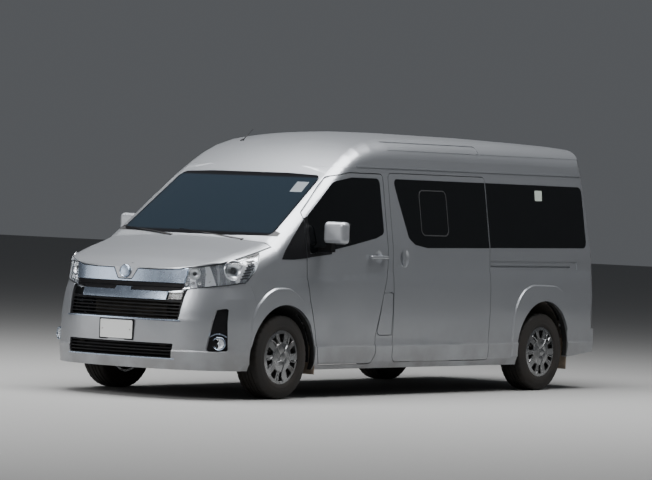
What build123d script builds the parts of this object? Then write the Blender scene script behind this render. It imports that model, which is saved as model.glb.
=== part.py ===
from build123d import *
from math import asin, atan2, cos, degrees, hypot, pi, radians, sin, sqrt, tan
import os

# A high-roof passenger van used as an ambulance transport, in millimetres.
# +X points forwards, +Y to the van's left, +Z up. The origin is on the floor under the middle of the van.
# Side-view and plan places are first given as distances ahead of the front axle, called "ahead".

# Driving dimensions of the whole van
LENGTH = 5915.0
WHEELBASE = 3860.0
FRONT_OVERHANG = 1025.0
BODY_HALF_WIDTH = 968.0
ROOF_TOP = 2262.0
SILL_BOTTOM = 240.0
FRONT_TRACK = 1655.0
REAR_TRACK = 1650.0

# Wall and gap sizes
SIDE_WALL = 60.0
TOP_WALL = 45.0
NOSE_WALL = 45.0
REAR_WALL = 62.0
SHUT_GAP = 8.0
GLASS = 6.0
GLASS_GAP = 1.0
SEAT_GAP = 0.3

FRONT_AXLE_X = LENGTH / 2 - FRONT_OVERHANG
REAR_AXLE_X = FRONT_AXLE_X - WHEELBASE
REAR_END = FRONT_OVERHANG - LENGTH

LEFT, RIGHT = 1, -1
SIDES = (LEFT, RIGHT)
FAR = 1300.0


def along(ahead):
    """The row frame's x of a place given as a distance ahead of the front axle."""
    return FRONT_AXLE_X + ahead


# Plane outlines and prisms

def rounded_face(points):
    """A flat face in the XY plane from (u, v) or (u, v, corner radius) points."""
    count = len(points)
    starts, ends, middles = [], [], []
    for i, point in enumerate(points):
        corner = Vector(point[0], point[1])
        radius = point[2] if len(point) > 2 else 0.0
        if radius <= 0:
            starts.append(corner)
            ends.append(corner)
            middles.append(None)
            continue
        before = Vector(*points[i - 1][:2]) - corner
        after = Vector(*points[(i + 1) % count][:2]) - corner
        half = radians(before.get_angle(after)) / 2
        cut = radius / tan(half)
        bisector = (before.normalized() + after.normalized()).normalized()
        centre = corner + bisector * (radius / sin(half))
        starts.append(corner + before.normalized() * cut)
        ends.append(corner + after.normalized() * cut)
        middles.append(centre - bisector * radius)
    edges = []
    for i in range(count):
        if middles[i] is not None:
            edges.append(Edge.make_three_point_arc(starts[i], middles[i], ends[i]))
        nxt = (i + 1) % count
        if (starts[nxt] - ends[i]).length > 1e-6:
            edges.append(Edge.make_line(ends[i], starts[nxt]))
    return Face(Wire(edges))


def grown(face, amount):
    """The face with its outline moved outwards by amount, or inwards if it is negative."""
    if abs(amount) < 1e-9:
        return face
    return offset(Sketch([face]), amount, kind=Kind.INTERSECTION).faces()[0]


def side_prism(points, y0, y1, grow=0.0):
    """A prism across the van from a side-view outline of (ahead, height[, radius]) points."""
    face = grown(rounded_face([(along(p[0]), *p[1:]) for p in points]), grow)
    placed = Plane.XZ * face
    return Solid.extrude(placed.faces()[0].moved(Location((0, y0, 0))), Vector(0, y1 - y0, 0))


def front_prism(points, ahead0, ahead1, grow=0.0):
    """A prism along the van from a front-view outline of (left, height[, radius]) points."""
    placed = Plane.YZ * grown(rounded_face(points), grow)
    start = placed.faces()[0].moved(Location((along(ahead0), 0, 0)))
    return Solid.extrude(start, Vector(ahead1 - ahead0, 0, 0))


def plan_prism(points, z0, z1, grow=0.0):
    """An upright prism from a plan outline of (ahead, left[, radius]) points."""
    face = grown(rounded_face([(along(p[0]), *p[1:]) for p in points]), grow)
    return Solid.extrude(face.moved(Location((0, 0, z0))), Vector(0, 0, z1 - z0))


def block(ahead0, ahead1, y0, y1, z0, z1):
    """A box between two places along the van, across it and up."""
    size = (abs(ahead1 - ahead0), abs(y1 - y0), abs(z1 - z0))
    corner = (along(min(ahead0, ahead1)), min(y0, y1), min(z0, z1))
    return Solid.make_box(*size).moved(Location(corner))


def rod(start, end, radius):
    """A round bar between two points in the row frame."""
    line = Vector(*end) - Vector(*start)
    return Solid.make_cylinder(radius, line.length, Plane(origin=start, z_dir=line))


def mirrored(shape):
    return shape.mirror(Plane.XZ)


def both(shape):
    """A left piece with its mirror image on the right."""
    return [shape, mirrored(shape)]


def solids_of(*shapes):
    found = []
    for shape in shapes:
        if isinstance(shape, (list, tuple)):
            found += solids_of(*shape)
        elif shape is not None:
            found += list(shape.solids())
    return found


def cut(shape, *tools):
    """The shape without the tools, as a list of solids."""
    tools = solids_of(*tools)
    found = []
    for solid in solids_of(shape):
        left = solid.cut(*tools)
        found += solids_of(left)
    return found


def keep(shape, tool):
    """What the shape and the tool share, as a list of solids."""
    found = []
    for solid in solids_of(shape):
        for other in solids_of(tool):
            common = solid.intersect(other)
            if common is not None:
                found += solids_of(*common) if isinstance(common, (list, ShapeList)) else solids_of(common)
    return found


def fused(*shapes):
    pieces = solids_of(*shapes)
    return pieces[0].fuse(*pieces[1:]) if len(pieces) > 1 else pieces[0]


# Body sections
# Each row is a cross-section: ahead, heights of the widest line, the crease and the belt,
# half width and lean of the upper side at the belt, roof or bonnet height at the middle,
# and the half width and height where the shoulder's round starts. Under the crease the side
# swells out within SWELL_SHARE of the way down to the widest line.
SILL = ((925.0, SILL_BOTTOM), (955.0, 300.0), (966.0, 428.0), (957.0, 448.0))
CREASE_OUT = 7.0
NOSE_CREASE_OUT = 1.0
SWELL_HALF_WIDTH = 961.0
SWELL_SHARE = 0.38
SECTION_COLUMNS = ("ahead", "widest_z", "crease_z", "belt_z", "belt_y", "lean", "top_z", "round_y", "round_z")
SECTIONS = (
    (1120, 520, 550, 575, 955, 3.0, 960, 600, 945),
    (920, 620, 650, 680, 955, 4.0, 1052, 640, 1037),
    (700, 720, 830, 880, 953, 5.0, 1142, 700, 1124),
    (450, 800, 966, 1005, 951, 6.0, 1222, 745, 1200),
    (200, 860, 982, 1060, 949, 7.0, 1290, 775, 1264),
    (95, 880, 989, 1100, 948, 8.0, 1325, 790, 1296),
    (-706, 900, 1034, 1270, 940, 8.24, 1891, 760, 1855),
    (-800, 900, 1040, 1270, 940, 8.24, 1956, 748, 1918),
    (-900, 900, 1045, 1270, 940, 8.24, 2024, 737, 1982),
    (-1020, 900, 1050, 1270, 940, 8.24, 2098, 720, 2052),
    (-1150, 900, 1055, 1270, 940, 8.24, 2162, 702, 2112),
    (-1330, 900, 1063, 1270, 940, 8.24, 2212, 678, 2164),
    (-1560, 900, 1075, 1270, 940, 8.24, 2242, 655, 2198),
    (-1850, 900, 1078, 1270, 940, 8.24, 2257, 642, 2216),
    (-2300, 900, 1080, 1270, 940, 8.24, ROOF_TOP, 640, 2222),
    (-3400, 900, 1078, 1270, 940, 8.24, 2257, 640, 2217),
    (-4300, 900, 1076, 1270, 940, 8.24, 2241, 638, 2201),
    (-5050, 900, 1076, 1270, 940, 8.24, 2222, 636, 2182),
)


def section(row, side_inset=0.0, top_inset=0.0, bottom=SILL_BOTTOM):
    """One closed cross-section of the body, moved inwards for the inside of the walls."""
    r = dict(zip(SECTION_COLUMNS, row))
    x = along(r["ahead"])
    lean = radians(r["lean"])
    widest = (BODY_HALF_WIDTH, 448 + 0.6 * (r["widest_z"] - 448))
    shoulder = (BODY_HALF_WIDTH - 2, r["widest_z"])
    belt = (r["belt_y"], r["belt_z"])
    out = NOSE_CREASE_OUT if r["belt_z"] < 700 else CREASE_OUT
    crease = (r["belt_y"] + out, r["crease_z"])
    swell = (SWELL_HALF_WIDTH, r["crease_z"] - SWELL_SHARE * (r["crease_z"] - r["widest_z"]))
    side = list(SILL) + [widest, shoulder, swell, crease, belt]
    side = [(y - side_inset, z) for y, z in side]
    side[0] = (side[0][0], bottom)
    start = (r["round_y"] - 0.8 * side_inset, r["round_z"] - top_inset)
    top = r["top_z"] - top_inset
    rise = top - start[1]
    crown = (start[0] ** 2 + rise**2) / (2 * rise)
    fall = asin(start[0] / crown)
    gap = (side[-1][0] - start[0]) * cos(lean) + (side[-1][1] - start[1]) * sin(lean)
    radius = gap / (1 - sin(fall + lean))
    centre = (start[0] - radius * sin(fall), start[1] - radius * cos(fall))
    middle = (lean + pi / 2 - fall) / 2
    end = (centre[0] + radius * cos(lean), centre[1] + radius * sin(lean))
    halfway = (centre[0] + radius * cos(middle), centre[1] + radius * sin(middle))
    left = [Vector(x, y, z) for y, z in side] + [Vector(x, *end)]
    right = [Vector(p.X, -p.Y, p.Z) for p in reversed(left)]
    shoulder_l, shoulder_r = Vector(x, *start), Vector(x, -start[0], start[1])
    edges = [Edge.make_line(a, b) for a, b in zip(left, left[1:])]
    edges.append(Edge.make_three_point_arc(left[-1], Vector(x, *halfway), shoulder_l))
    edges.append(Edge.make_three_point_arc(shoulder_l, Vector(x, 0, top), shoulder_r))
    edges.append(Edge.make_three_point_arc(shoulder_r, Vector(x, -halfway[0], halfway[1]), right[0]))
    edges += [Edge.make_line(a, b) for a, b in zip(right, right[1:])]
    edges.append(Edge.make_line(right[-1], left[0]))
    return Wire(edges)


def body_loft(side_inset=0.0, top_inset=0.0, bottom=SILL_BOTTOM):
    """The body's length as one loft through all the sections."""
    return Solid.make_loft([section(row, side_inset, top_inset, bottom) for row in SECTIONS], True)


# Plan outline of the nose: a flat front arc, a corner arc and a long flank arc, tangent to each other.
# Levels are height, place of the front on the centre line, and half width.
NOSE_LEVELS = (
    (60, 990, 968), (262, 1006, 970), (390, 1026, 972), (402, 1015, 972), (640, 1004, 974), (737, 986, 974),
    (832, 962, 973), (905, 930, 971), (1057, 913, 966), (1420, 800, 960), (2400, 500, 960),
)
NOSE_FRONT_R = 2400.0
NOSE_CORNER_R = 620.0
NOSE_FLANK_R = 2500.0
NOSE_FLANK_FROM = radians(84)


def chained(points, middles, z):
    """Edges at one height through the points, an arc where a middle is given and a line where not."""
    def at(p):
        return Vector(along(p[0]), p[1], z)

    edges = []
    for a, m, b in zip(points, middles, points[1:]):
        if m is None:
            edges.append(Edge.make_line(at(a), at(b)))
        else:
            edges.append(Edge.make_three_point_arc(at(a), at(m), at(b)))
    return edges


def polar(centre, radius, angle):
    return (centre[0] + radius * cos(angle), centre[1] + radius * sin(angle))


def nose_wire(z, ahead, half_width, inset=0.0):
    """A closed plan outline behind the nose at one height."""
    flank_y = half_width - NOSE_FLANK_R
    corner_y = flank_y + (NOSE_FLANK_R - NOSE_CORNER_R) * sin(NOSE_FLANK_FROM)
    reach = sqrt((NOSE_FRONT_R - NOSE_CORNER_R) ** 2 - corner_y**2)
    front = (ahead - NOSE_FRONT_R, 0.0)
    corner = (front[0] + reach, corner_y)
    flank = (corner[0] - (NOSE_FLANK_R - NOSE_CORNER_R) * cos(NOSE_FLANK_FROM), flank_y)
    turn = atan2(corner_y, reach)
    arcs = (
        (front, NOSE_FRONT_R - inset, 0.0, turn),
        (corner, NOSE_CORNER_R - inset, turn, NOSE_FLANK_FROM),
        (flank, NOSE_FLANK_R - inset, NOSE_FLANK_FROM, pi / 2),
    )
    points = [polar(front, NOSE_FRONT_R - inset, 0.0)]
    middles = []
    for centre, radius, a, b in arcs:
        middles.append(polar(centre, radius, (a + b) / 2))
        points.append(polar(centre, radius, b))
    middles.append(None)
    points.append((REAR_END - 300, points[-1][1]))
    other = [(p[0], -p[1]) for p in reversed(points)]
    other_middles = [None if m is None else (m[0], -m[1]) for m in reversed(middles)]
    run = chained(points, middles, z)
    run += chained([points[-1], other[0]], [None], z)
    run += chained(other, other_middles, z)
    return Wire(run)


def nose_form(inset=0.0):
    return Solid.make_loft([nose_wire(*row, inset) for row in NOSE_LEVELS], True)


# Plan outlines of the tail: a bowed back and two round corners. Levels are height, back end, half width.
BUMPER_LEVELS = ((60, -4862, 968), (320, -4880, 970), (450, REAR_END, 972), (556, REAR_END + 4, 972))
TAIL_LEVELS = (
    (556, -4856, 966), (860, -4850, 971), (1085, -4842, 953), (1270, -4831, 943),
    (1857, -4752, 858), (2060, -4716, 828), (2150, -4690, 812), (2210, -4640, 804), (2300, -4500, 800),
)
TAIL_BOW_R = 3600.0
TAIL_CORNER_R = 170.0


def tail_wire(z, behind, half_width, inset=0.0):
    corner_y = half_width - TAIL_CORNER_R
    turn = asin(corner_y / (TAIL_BOW_R - TAIL_CORNER_R))
    bow = (behind + TAIL_BOW_R, 0.0)
    corner = polar(bow, TAIL_BOW_R - TAIL_CORNER_R, pi - turn)
    points = [polar(bow, TAIL_BOW_R - inset, pi), polar(corner, TAIL_CORNER_R - inset, pi - turn)]
    points.append((corner[0], corner[1] + TAIL_CORNER_R - inset))
    points.append((FRONT_OVERHANG + 300, points[-1][1]))
    middles = [polar(bow, TAIL_BOW_R - inset, pi - turn / 2)]
    middles.append(polar(corner, TAIL_CORNER_R - inset, (pi - turn + pi / 2) / 2))
    middles.append(None)
    other = [(p[0], -p[1]) for p in reversed(points)]
    other_middles = [None if m is None else (m[0], -m[1]) for m in reversed(middles)]
    run = chained(points, middles, z)
    run += chained([points[-1], other[0]], [None], z)
    run += chained(other, other_middles, z)
    return Wire(run)


def tail_form(inset=0.0):
    lower = Solid.make_loft([tail_wire(*row, inset) for row in BUMPER_LEVELS], True)
    upper = Solid.make_loft([tail_wire(*row, inset) for row in TAIL_LEVELS], True)
    return fused(lower, upper)


def envelope(side_inset=0.0, top_inset=0.0, nose_inset=0.0, tail_inset=0.0, bottom=SILL_BOTTOM):
    body = body_loft(side_inset, top_inset, bottom)
    body = keep(body, nose_form(nose_inset))
    body = keep(body, tail_form(tail_inset))
    return fused(body)


# Wheels and arches
TYRE_R = 349.0
TYRE_WIDTH = 235.0
HUB_Z = TYRE_R
ARCH_COLUMNS = ("ahead", "z", "radius", "liner_in")
FRONT_ARCH = (6.0, 340.0, 443.0, 520.0)
REAR_ARCH = (-3857.0, 394.0, 416.0, 562.0)
FRONT_FLARE = (
    (452, 300), (452, 650, 300), (395, 780, 300), (290, 880, 300), (150, 938, 300), (-60, 938, 300),
    (-210, 862, 300), (-310, 770, 300), (-390, 560, 100), (-390, 300),
)
REAR_FLARE = (
    (-3348, 300), (-3348, 730, 250), (-3425, 850, 250), (-3500, 925, 250), (-3640, 972, 300), (-4040, 965, 300),
    (-4165, 915, 250), (-4240, 800, 200), (-4262, 660, 200), (-4262, 300),
)
FLARE_PROUD = 11.0
FLARE_FOOT_Y = 950.0
FLARE_TOP_Y = 982.0
FLARE_SLOPE = 1.0
LINER = 7.0


def round_bar(ahead, z, radius, y0, y1):
    """A cylinder across the van."""
    return rod((along(ahead), y0, z), (along(ahead), y1, z), radius)


def shrunk(points, amount):
    """The outline with every side moved inwards and every corner's radius made smaller by amount."""
    lines = []
    for p, q in zip(points, points[1:] + points[:1]):
        run, rise = q[0] - p[0], q[1] - p[1]
        length = hypot(run, rise)
        lines.append((p[0] - rise / length * amount, p[1] + run / length * amount, run, rise))
    found = []
    for i, p in enumerate(points):
        x0, z0, run0, rise0 = lines[i - 1]
        x1, z1, run1, rise1 = lines[i]
        share = ((x1 - x0) * rise1 - (z1 - z0) * run1) / (run0 * rise1 - rise0 * run1)
        found.append((x0 + run0 * share, z0 + rise0 * share, *[r - amount for r in p[2:]]))
    return found


def flare(outline, proud_body):
    """The raised field round a wheel arch: the side moved out, inside a bevelled outline."""
    depth = FLARE_TOP_Y - FLARE_FOOT_Y
    wires = []
    for points, y in ((outline, FLARE_FOOT_Y), (shrunk(outline, depth * FLARE_SLOPE), FLARE_TOP_Y)):
        face = Plane.XZ * rounded_face([(along(p[0]), *p[1:]) for p in points])
        wires.append(face.faces()[0].moved(Location((0, y, 0))).outer_wire())
    return keep(Solid.make_loft(wires, True), proud_body)


def arch_cut(arch):
    ahead, z, radius, _ = arch
    return round_bar(ahead, z, radius, 500, 1100)


# Side-view outlines of the panels, as (ahead, height[, corner radius])
DOOR = (
    (-296, 1166), (-296, 1540, 60), (-712, 1856, 160), (-960, 1896, 150), (-1446, 1896, 45), (-1446, 1090, 60),
    (-1376, 880, 60), (-1276, 515, 60), (-1286, 360, 60), (-1226, 280, 50), (-490, 280, 30), (-418, 571, 120),
    (-334, 823, 200), (-296, 1010, 100),
)
DOOR_GLASS = (
    (-344, 1206, 25), (-344, 1520, 40), (-740, 1816, 160), (-1000, 1857, 120), (-1396, 1857, 50),
    (-1404, 1385, 50), (-1283, 1346, 80), (-930, 1284, 300), (-640, 1238, 200),
)
SLIDING_DOOR = (
    (-1522, 1906, 45), (-2986, 1906, 45), (-2986, 290, 40), (-1532, 290, 60), (-1528, 520, 60), (-1520, 900, 60),
)
MID_GLASS = (
    (-1592, 1858, 40), (-1640, 1700), (-1762, 1352, 60), (-1850, 1296, 60), (-2025, 1270, 200), (-2981, 1278),
    (-2981, 1856),
)
REAR_GLASS = (
    (-2993, 1856), (-2993, 1280), (-4561, 1292, 60), (-4551, 1852, 60),
)
BONNET = (
    (116, 1500), (116, 1256), (236, 1221), (825, 1071), (855, 1056), (892, 1047), (1100, 1044), (1100, 1500),
)
BONNET_UNDER = (
    (116, 1500), (116, 1205), (305, 1150), (880, 985), (1100, 985), (1100, 1500),
)
HEADLAMP = (
    (240, 1220, 12), (825, 1071), (855, 1056), (892, 1047), (1060, 1044), (1060, 860), (871, 883), (797, 905),
    (484, 958, 16), (335, 1125, 70),
)
BUMPER_FRONT = (
    (400, 850), (440, 940), (484, 960), (520, 1100), (1200, 1100), (1200, 60), (356, 60), (356, 625),
)
SIDE_FRONT = (
    (-505, 60), (-505, 400), (-380, 700), (-380, 1157), (60, 1157), (112, 1250), (112, 1420), (-600, 2000),
    (-760, 1940), (-1515, 1940), (-1515, 900), (-1523, 520), (-1527, 290), (-1522, 60),
)
ROOF = (
    (-5200, 1940), (-800, 1940), (-716, 1850), (-600, 1760), (-400, 1900), (-700, 2500), (-5200, 2500),
)
BUMPER_REAR = (
    (-5200, 60), (-4330, 60), (-4262, 330), (-4330, 520), (-4760, 558), (-5200, 558),
)
FUEL_LID = (
    (-1374, 884, 30), (-1512, 884, 20), (-1512, 521, 20), (-1290, 521, 40),
)
TAIL_LAMP = (
    (-5200, 1404), (-4655, 1404, 30), (-4672, 780, 30), (-5200, 780),
)
# Front-view outlines, as (left, height[, corner radius])
FOG_BEZEL = (
    (815, 734, 10), (877, 751, 14), (888, 402, 14), (773, 394, 20),
)
HEADLAMP_FRONT_VIEW = (
    (604, 1160), (554, 880), (300, 700), (1300, 700), (1300, 1300), (604, 1300),
)
SIDELIGHT = (
    (443, 876), (575, 890), (570, 810), (445, 807),
)
BONNET_TIP = (
    (-134, 1062), (-126, 1046, 10), (-74, 958, 22), (74, 958, 22), (126, 1046, 10), (134, 1062),
)
GRILLE_CHROME = (
    (-598, 1110), (-556, 884), (-446, 880), (-441, 803), (441, 803), (446, 880), (556, 884), (598, 1110),
)
CHROME_SLIT = (
    (-620, 868), (-86, 868), (-78, 895), (78, 895), (86, 868), (620, 868), (620, 942), (-620, 942),
)
GRILLE = (
    (-577, 644), (577, 644), (601, 881), (614, 898), (640, 1120), (-640, 1120), (-614, 898), (-601, 881),
)
LOWER_GRILLE = (
    (-546, 450, 8), (-536, 332, 8), (536, 332, 8), (546, 450, 8),
)
DOOR_FRONT_VIEW = (
    (1300, 100), (850, 100), (850, 1166), (782, 1900), (782, 2100), (1300, 2100),
)
WINDSCREEN = (
    (-806, 1352, 50), (-400, 1338), (400, 1338), (806, 1352, 50), (752, 1864, 70), (400, 1878), (-400, 1878),
    (-752, 1864, 70),
)
TAILGATE = (
    (-792, 566, 30), (792, 566, 30), (806, 1080), (772, 1420), (706, 1900), (650, 2046, 90), (-650, 2046, 90),
    (-706, 1900), (-772, 1420), (-806, 1080),
)
TAILGATE_GLASS = (
    (-700, 1250, 70), (700, 1250, 70), (640, 1830, 70), (-640, 1830, 70),
)
STATIC_GAP = 0.9
SLIDING_GAP = 6.0
TOUCH = 0.5
UNDER_HALF_WIDTH = 602.0
CHROME_DEPTH = 24.0
SLIT_DEPTH = 16.0
GRILLE_SET_BACK = 14.0
LOWER_SET_BACK = 12.0
# Slots between the bars of both grilles: half width, lower and upper height
SLOT_COLUMNS = ("half_width", "z0", "z1")
GRILLE_SLOTS = (
    (558, 655, 673), (560, 683, 701), (562, 711, 729), (564, 739, 757), (566, 767, 785),
)
LOWER_SLOTS = (
    (522, 341, 357), (525, 367, 383), (528, 393, 409), (531, 419, 435),
)
BADGE_Z = 1020.0
BADGE_RADIUS = 50.0
BADGE_PROUD = 9.0
FOG_SET_BACK = 18.0
FOG_LAMP = (852.0, 464.0, 42.0)
# Flat seats for the number plates: place of the seat, half width, lower and upper height
FRONT_PLATE = (1004.0, 178.0, 466.0, 624.0)
REAR_PLATE = (-4838.0, 186.0, 760.0, 926.0)
SCREW_SPACING = 290.0
SCREW_R = 3.0
SCREW_DEPTH = 25.0
FLOOR_Z0, FLOOR_Z1 = 600.0, 630.0
FLOOR_HALF_WIDTH = 892.0


def carve(rest, region, gap):
    """A panel out of the rest: the panel, and the rest with a shut gap round it. region makes tools by growth."""
    piece = []
    for tool in region(-gap / 2):
        piece += keep(rest, tool)
    return piece, cut(rest, region(gap / 2))


def across(points, y0=-FAR, y1=FAR):
    return lambda grow: [side_prism(points, y0, y1, grow)]


def lengthwise(points, a0, a1):
    return lambda grow: [front_prism(points, a0, a1, grow)]


def biggest(shapes):
    return max(solids_of(shapes), key=lambda s: s.volume)


def pane(outer, region, slope, thickness, proud=0.0):
    """A pane of the outer form inside a region; slope is the way out of the glass."""
    way = Vector(*slope).normalized()
    inward = outer.moved(Location(way * -thickness))
    return biggest(cut(keep(outer, region), inward))


def sunk(outer, tool, depth, way=(0, 1, 0)):
    """What lies between the outer form's skin and a depth under it, inside the tool; way points out of it."""
    step = Vector(*way) * -depth
    return cut(keep(outer, tool), outer.moved(Location(step)))


def raised(outer, tool, height, way=(0, 1, 0)):
    """A layer of the given height on the outer form's skin, inside the tool."""
    step = Vector(*way) * height
    return cut(keep(outer.moved(Location(step)), tool), outer)


def cup(ahead, z, skin_y, radius, depth):
    """A ball that cuts a round cup of the given radius and depth into the left side."""
    ball = (radius**2 + depth**2) / (2 * depth)
    centre = Location((along(ahead), skin_y - depth + ball, z))
    return Solid.make_sphere(ball, angle1=-90, angle2=90, angle3=360).moved(centre)


def seat_profile(front):
    """The side view of a seat with its cushion's front end at front."""
    f = front
    return (
        (f, 706, 20), (f + 4, 812, 40), (f - 60, 862, 30), (f - 400, 836, 40), (f - 520, 1340, 60),
        (f - 540, 1490, 26), (f - 612, 1490, 26), (f - 610, 1320, 60), (f - 530, 800, 60), (f - 500, 706, 20),
    )


SEAT_COLUMNS = ("node", "front", "y0", "y1")
SEATS = (
    ("seat_driver", -830, -680, -180), ("seat_passenger", -830, 180, 680),
    ("bench_row_1", -1900, -840, 150), ("bench_row_2", -2720, -840, 150), ("bench_row_3", -3540, -545, 545),
)


def wheel_pieces(sign, y_plane, ahead):
    """A tyre and its wheel with a slotted cover, turned about Y; sign tells the side."""
    half = TYRE_WIDTH / 2
    tyre_outline = (
        (204, -90), (204, 96.5), (224, 100.4), (226, half - 10), (258, half), (306, half - 1), (333, half - 8), (TYRE_R, 88),
        (TYRE_R, -88), (333, 8 - half), (306, 1 - half), (258, -half), (226, 10 - half),
    )
    rim_outline = (
        (0, 18), (0, 120), (48, 120, 3), (62, 115), (200, 112), (223, 106), (223, 101), (203, 97),
        (203, -100), (212, -103), (212, -108), (196, -108), (192, -100), (192, 18),
    )
    void_outline = ((46, 32), (190, 32), (196, 92), (196, 100), (70, 106), (46, 104))
    tyre = Solid.revolve(rounded_face(tyre_outline), 360, Axis.Y)
    rim = Solid.revolve(rounded_face(rim_outline), 360, Axis.Y)
    rim = rim.cut(Solid.revolve(rounded_face(void_outline), 360, Axis.Y))
    window = Plane.XZ * rounded_face(COVER_WINDOW)
    window = Solid.extrude(window.faces()[0].moved(Location((0, 95, 0))), Vector(0, 40, 0))
    windows = []
    for i in range(COVER_SPOKE_PAIRS):
        turn = 360 / COVER_SPOKE_PAIRS * i
        windows += [window.rotate(Axis.Y, turn + COVER_PAIR_TURN), window.rotate(Axis.Y, turn - COVER_PAIR_TURN)]
    rim = biggest(cut(rim, windows))
    place = Location((along(ahead), y_plane, HUB_Z))
    if sign < 0:
        tyre, rim = mirrored(tyre), mirrored(rim)
    return tyre.moved(place), rim.moved(place)


# Wheel cover: five pairs of windows between a round middle and the rim, as (outwards, sideways[, radius])
COVER_SPOKE_PAIRS = 5
COVER_PAIR_TURN = 16.5
COVER_WINDOW = ((122, -17, 8), (196, -38, 12), (196, 38, 12), (122, 17, 8))
KINGPIN_Y = 770.0
KNUCKLE_HALF_HEIGHT = 95.0
BALL_GAP = 0.5
RAIL_Y0, RAIL_Y1 = 400.0, 458.0

# Roof side, as boxes of (ahead, ahead, z, z) or (ahead, ahead, y, y, z, z)
ROOF_SEAM = ((-2920, -1540, 2169, 2175), (-2945, -2938, 2080, 2168), (-2938, -2920, 2163, 2172))
ROOF_SEAM_DEPTH = 6.0
SWAGE = (-4640, -1570, 600, FAR, 2034, 2106)
SWAGE_DEPTH = 4.0
DRIP_RAIL = (-4605, -1080, 600, FAR, 1948, 1957)
DRIP_PROUD = 5.0

# Door handles and the slot of the sliding door's rail
HANDLE_CUP = (-1310.0, 1187.0, 945.0, 62.0, 15.0)
HANDLE_BAR = (-1412.0, -1166.0, 958.0, 980.0, 1174.0, 1199.0)
HANDLE_FEET = ((-1404.0, -1368.0), (-1206.0, -1174.0))
SLIDE_CUP = (-1690.0, 1184.0, 944.0, 80.0, 22.0)
SLIDE_BAR = (-1712.0, -1670.0, 912.0, 944.0, 1096.0, 1272.0)
RAIL_BAND = (-4395, -2996, 600, FAR, 1098, 1166)
RAIL_BAND_DEPTH = 4.0
RAIL_SLOT = (-4290, -2996, 900, FAR, 1112, 1126)
RAIL_SLOT_DEPTH = 24.0

# Mirror, steering wheel
MIRROR_CENTRE = (-480.0, 1106.0, 1388.0)
MIRROR_SIZE = (110.0, 216.0, 186.0)
STEERING_CENTRE = (-640.0, -430.0, 1120.0)
STEERING_TILT = 35.0
STEERING_RADIUS = 195.0
STEERING_SPOKES = (-25, 205, 90)

# Catches: a peg on the body stands in a slot of the closed door or lid
LATCH_X = 801.0
LATCH_HALF = 10.0
DOOR_PEG = (-1480.0, -1430.0, 902.0, 922.0, 1130.0, 1170.0)
GATE_PEG = (-4818.0, -4802.0, 20.0, 534.0, 584.0)
SLIDE_PEG = (-3014.0, -2966.0, 904.0, 920.0, 1112.0, 1136.0)
LID_BUFFER = (-1420.0, 700.0, 9.0)


def peg(row, grow=0.0, ahead0=0.0, ahead1=0.0, inwards=0.0):
    """A peg's box, or with growth the slot that it stands in."""
    a0, a1, y0, y1, z0, z1 = row
    return block(a0 - ahead0, a1 + ahead1, y0 - inwards, y1 + grow, z0 - grow, z1 + grow)
COLUMN_GAP = 0.5


def steering_plane():
    tilt = radians(STEERING_TILT)
    centre = (along(STEERING_CENTRE[0]), STEERING_CENTRE[1], STEERING_CENTRE[2])
    return Plane(origin=centre, x_dir=(0, 1, 0), z_dir=(-cos(tilt), 0, sin(tilt)))


def write(name, shape):
    piece = biggest(shape)
    piece.label = name
    export_step(piece, f"parts/{name}.step")
    others = [round(x.volume / 1e6, 4) for x in solids_of(shape)]
    print(name, round(piece.volume / 1e6, 3), piece.is_valid, others if len(others) > 1 else "")


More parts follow.
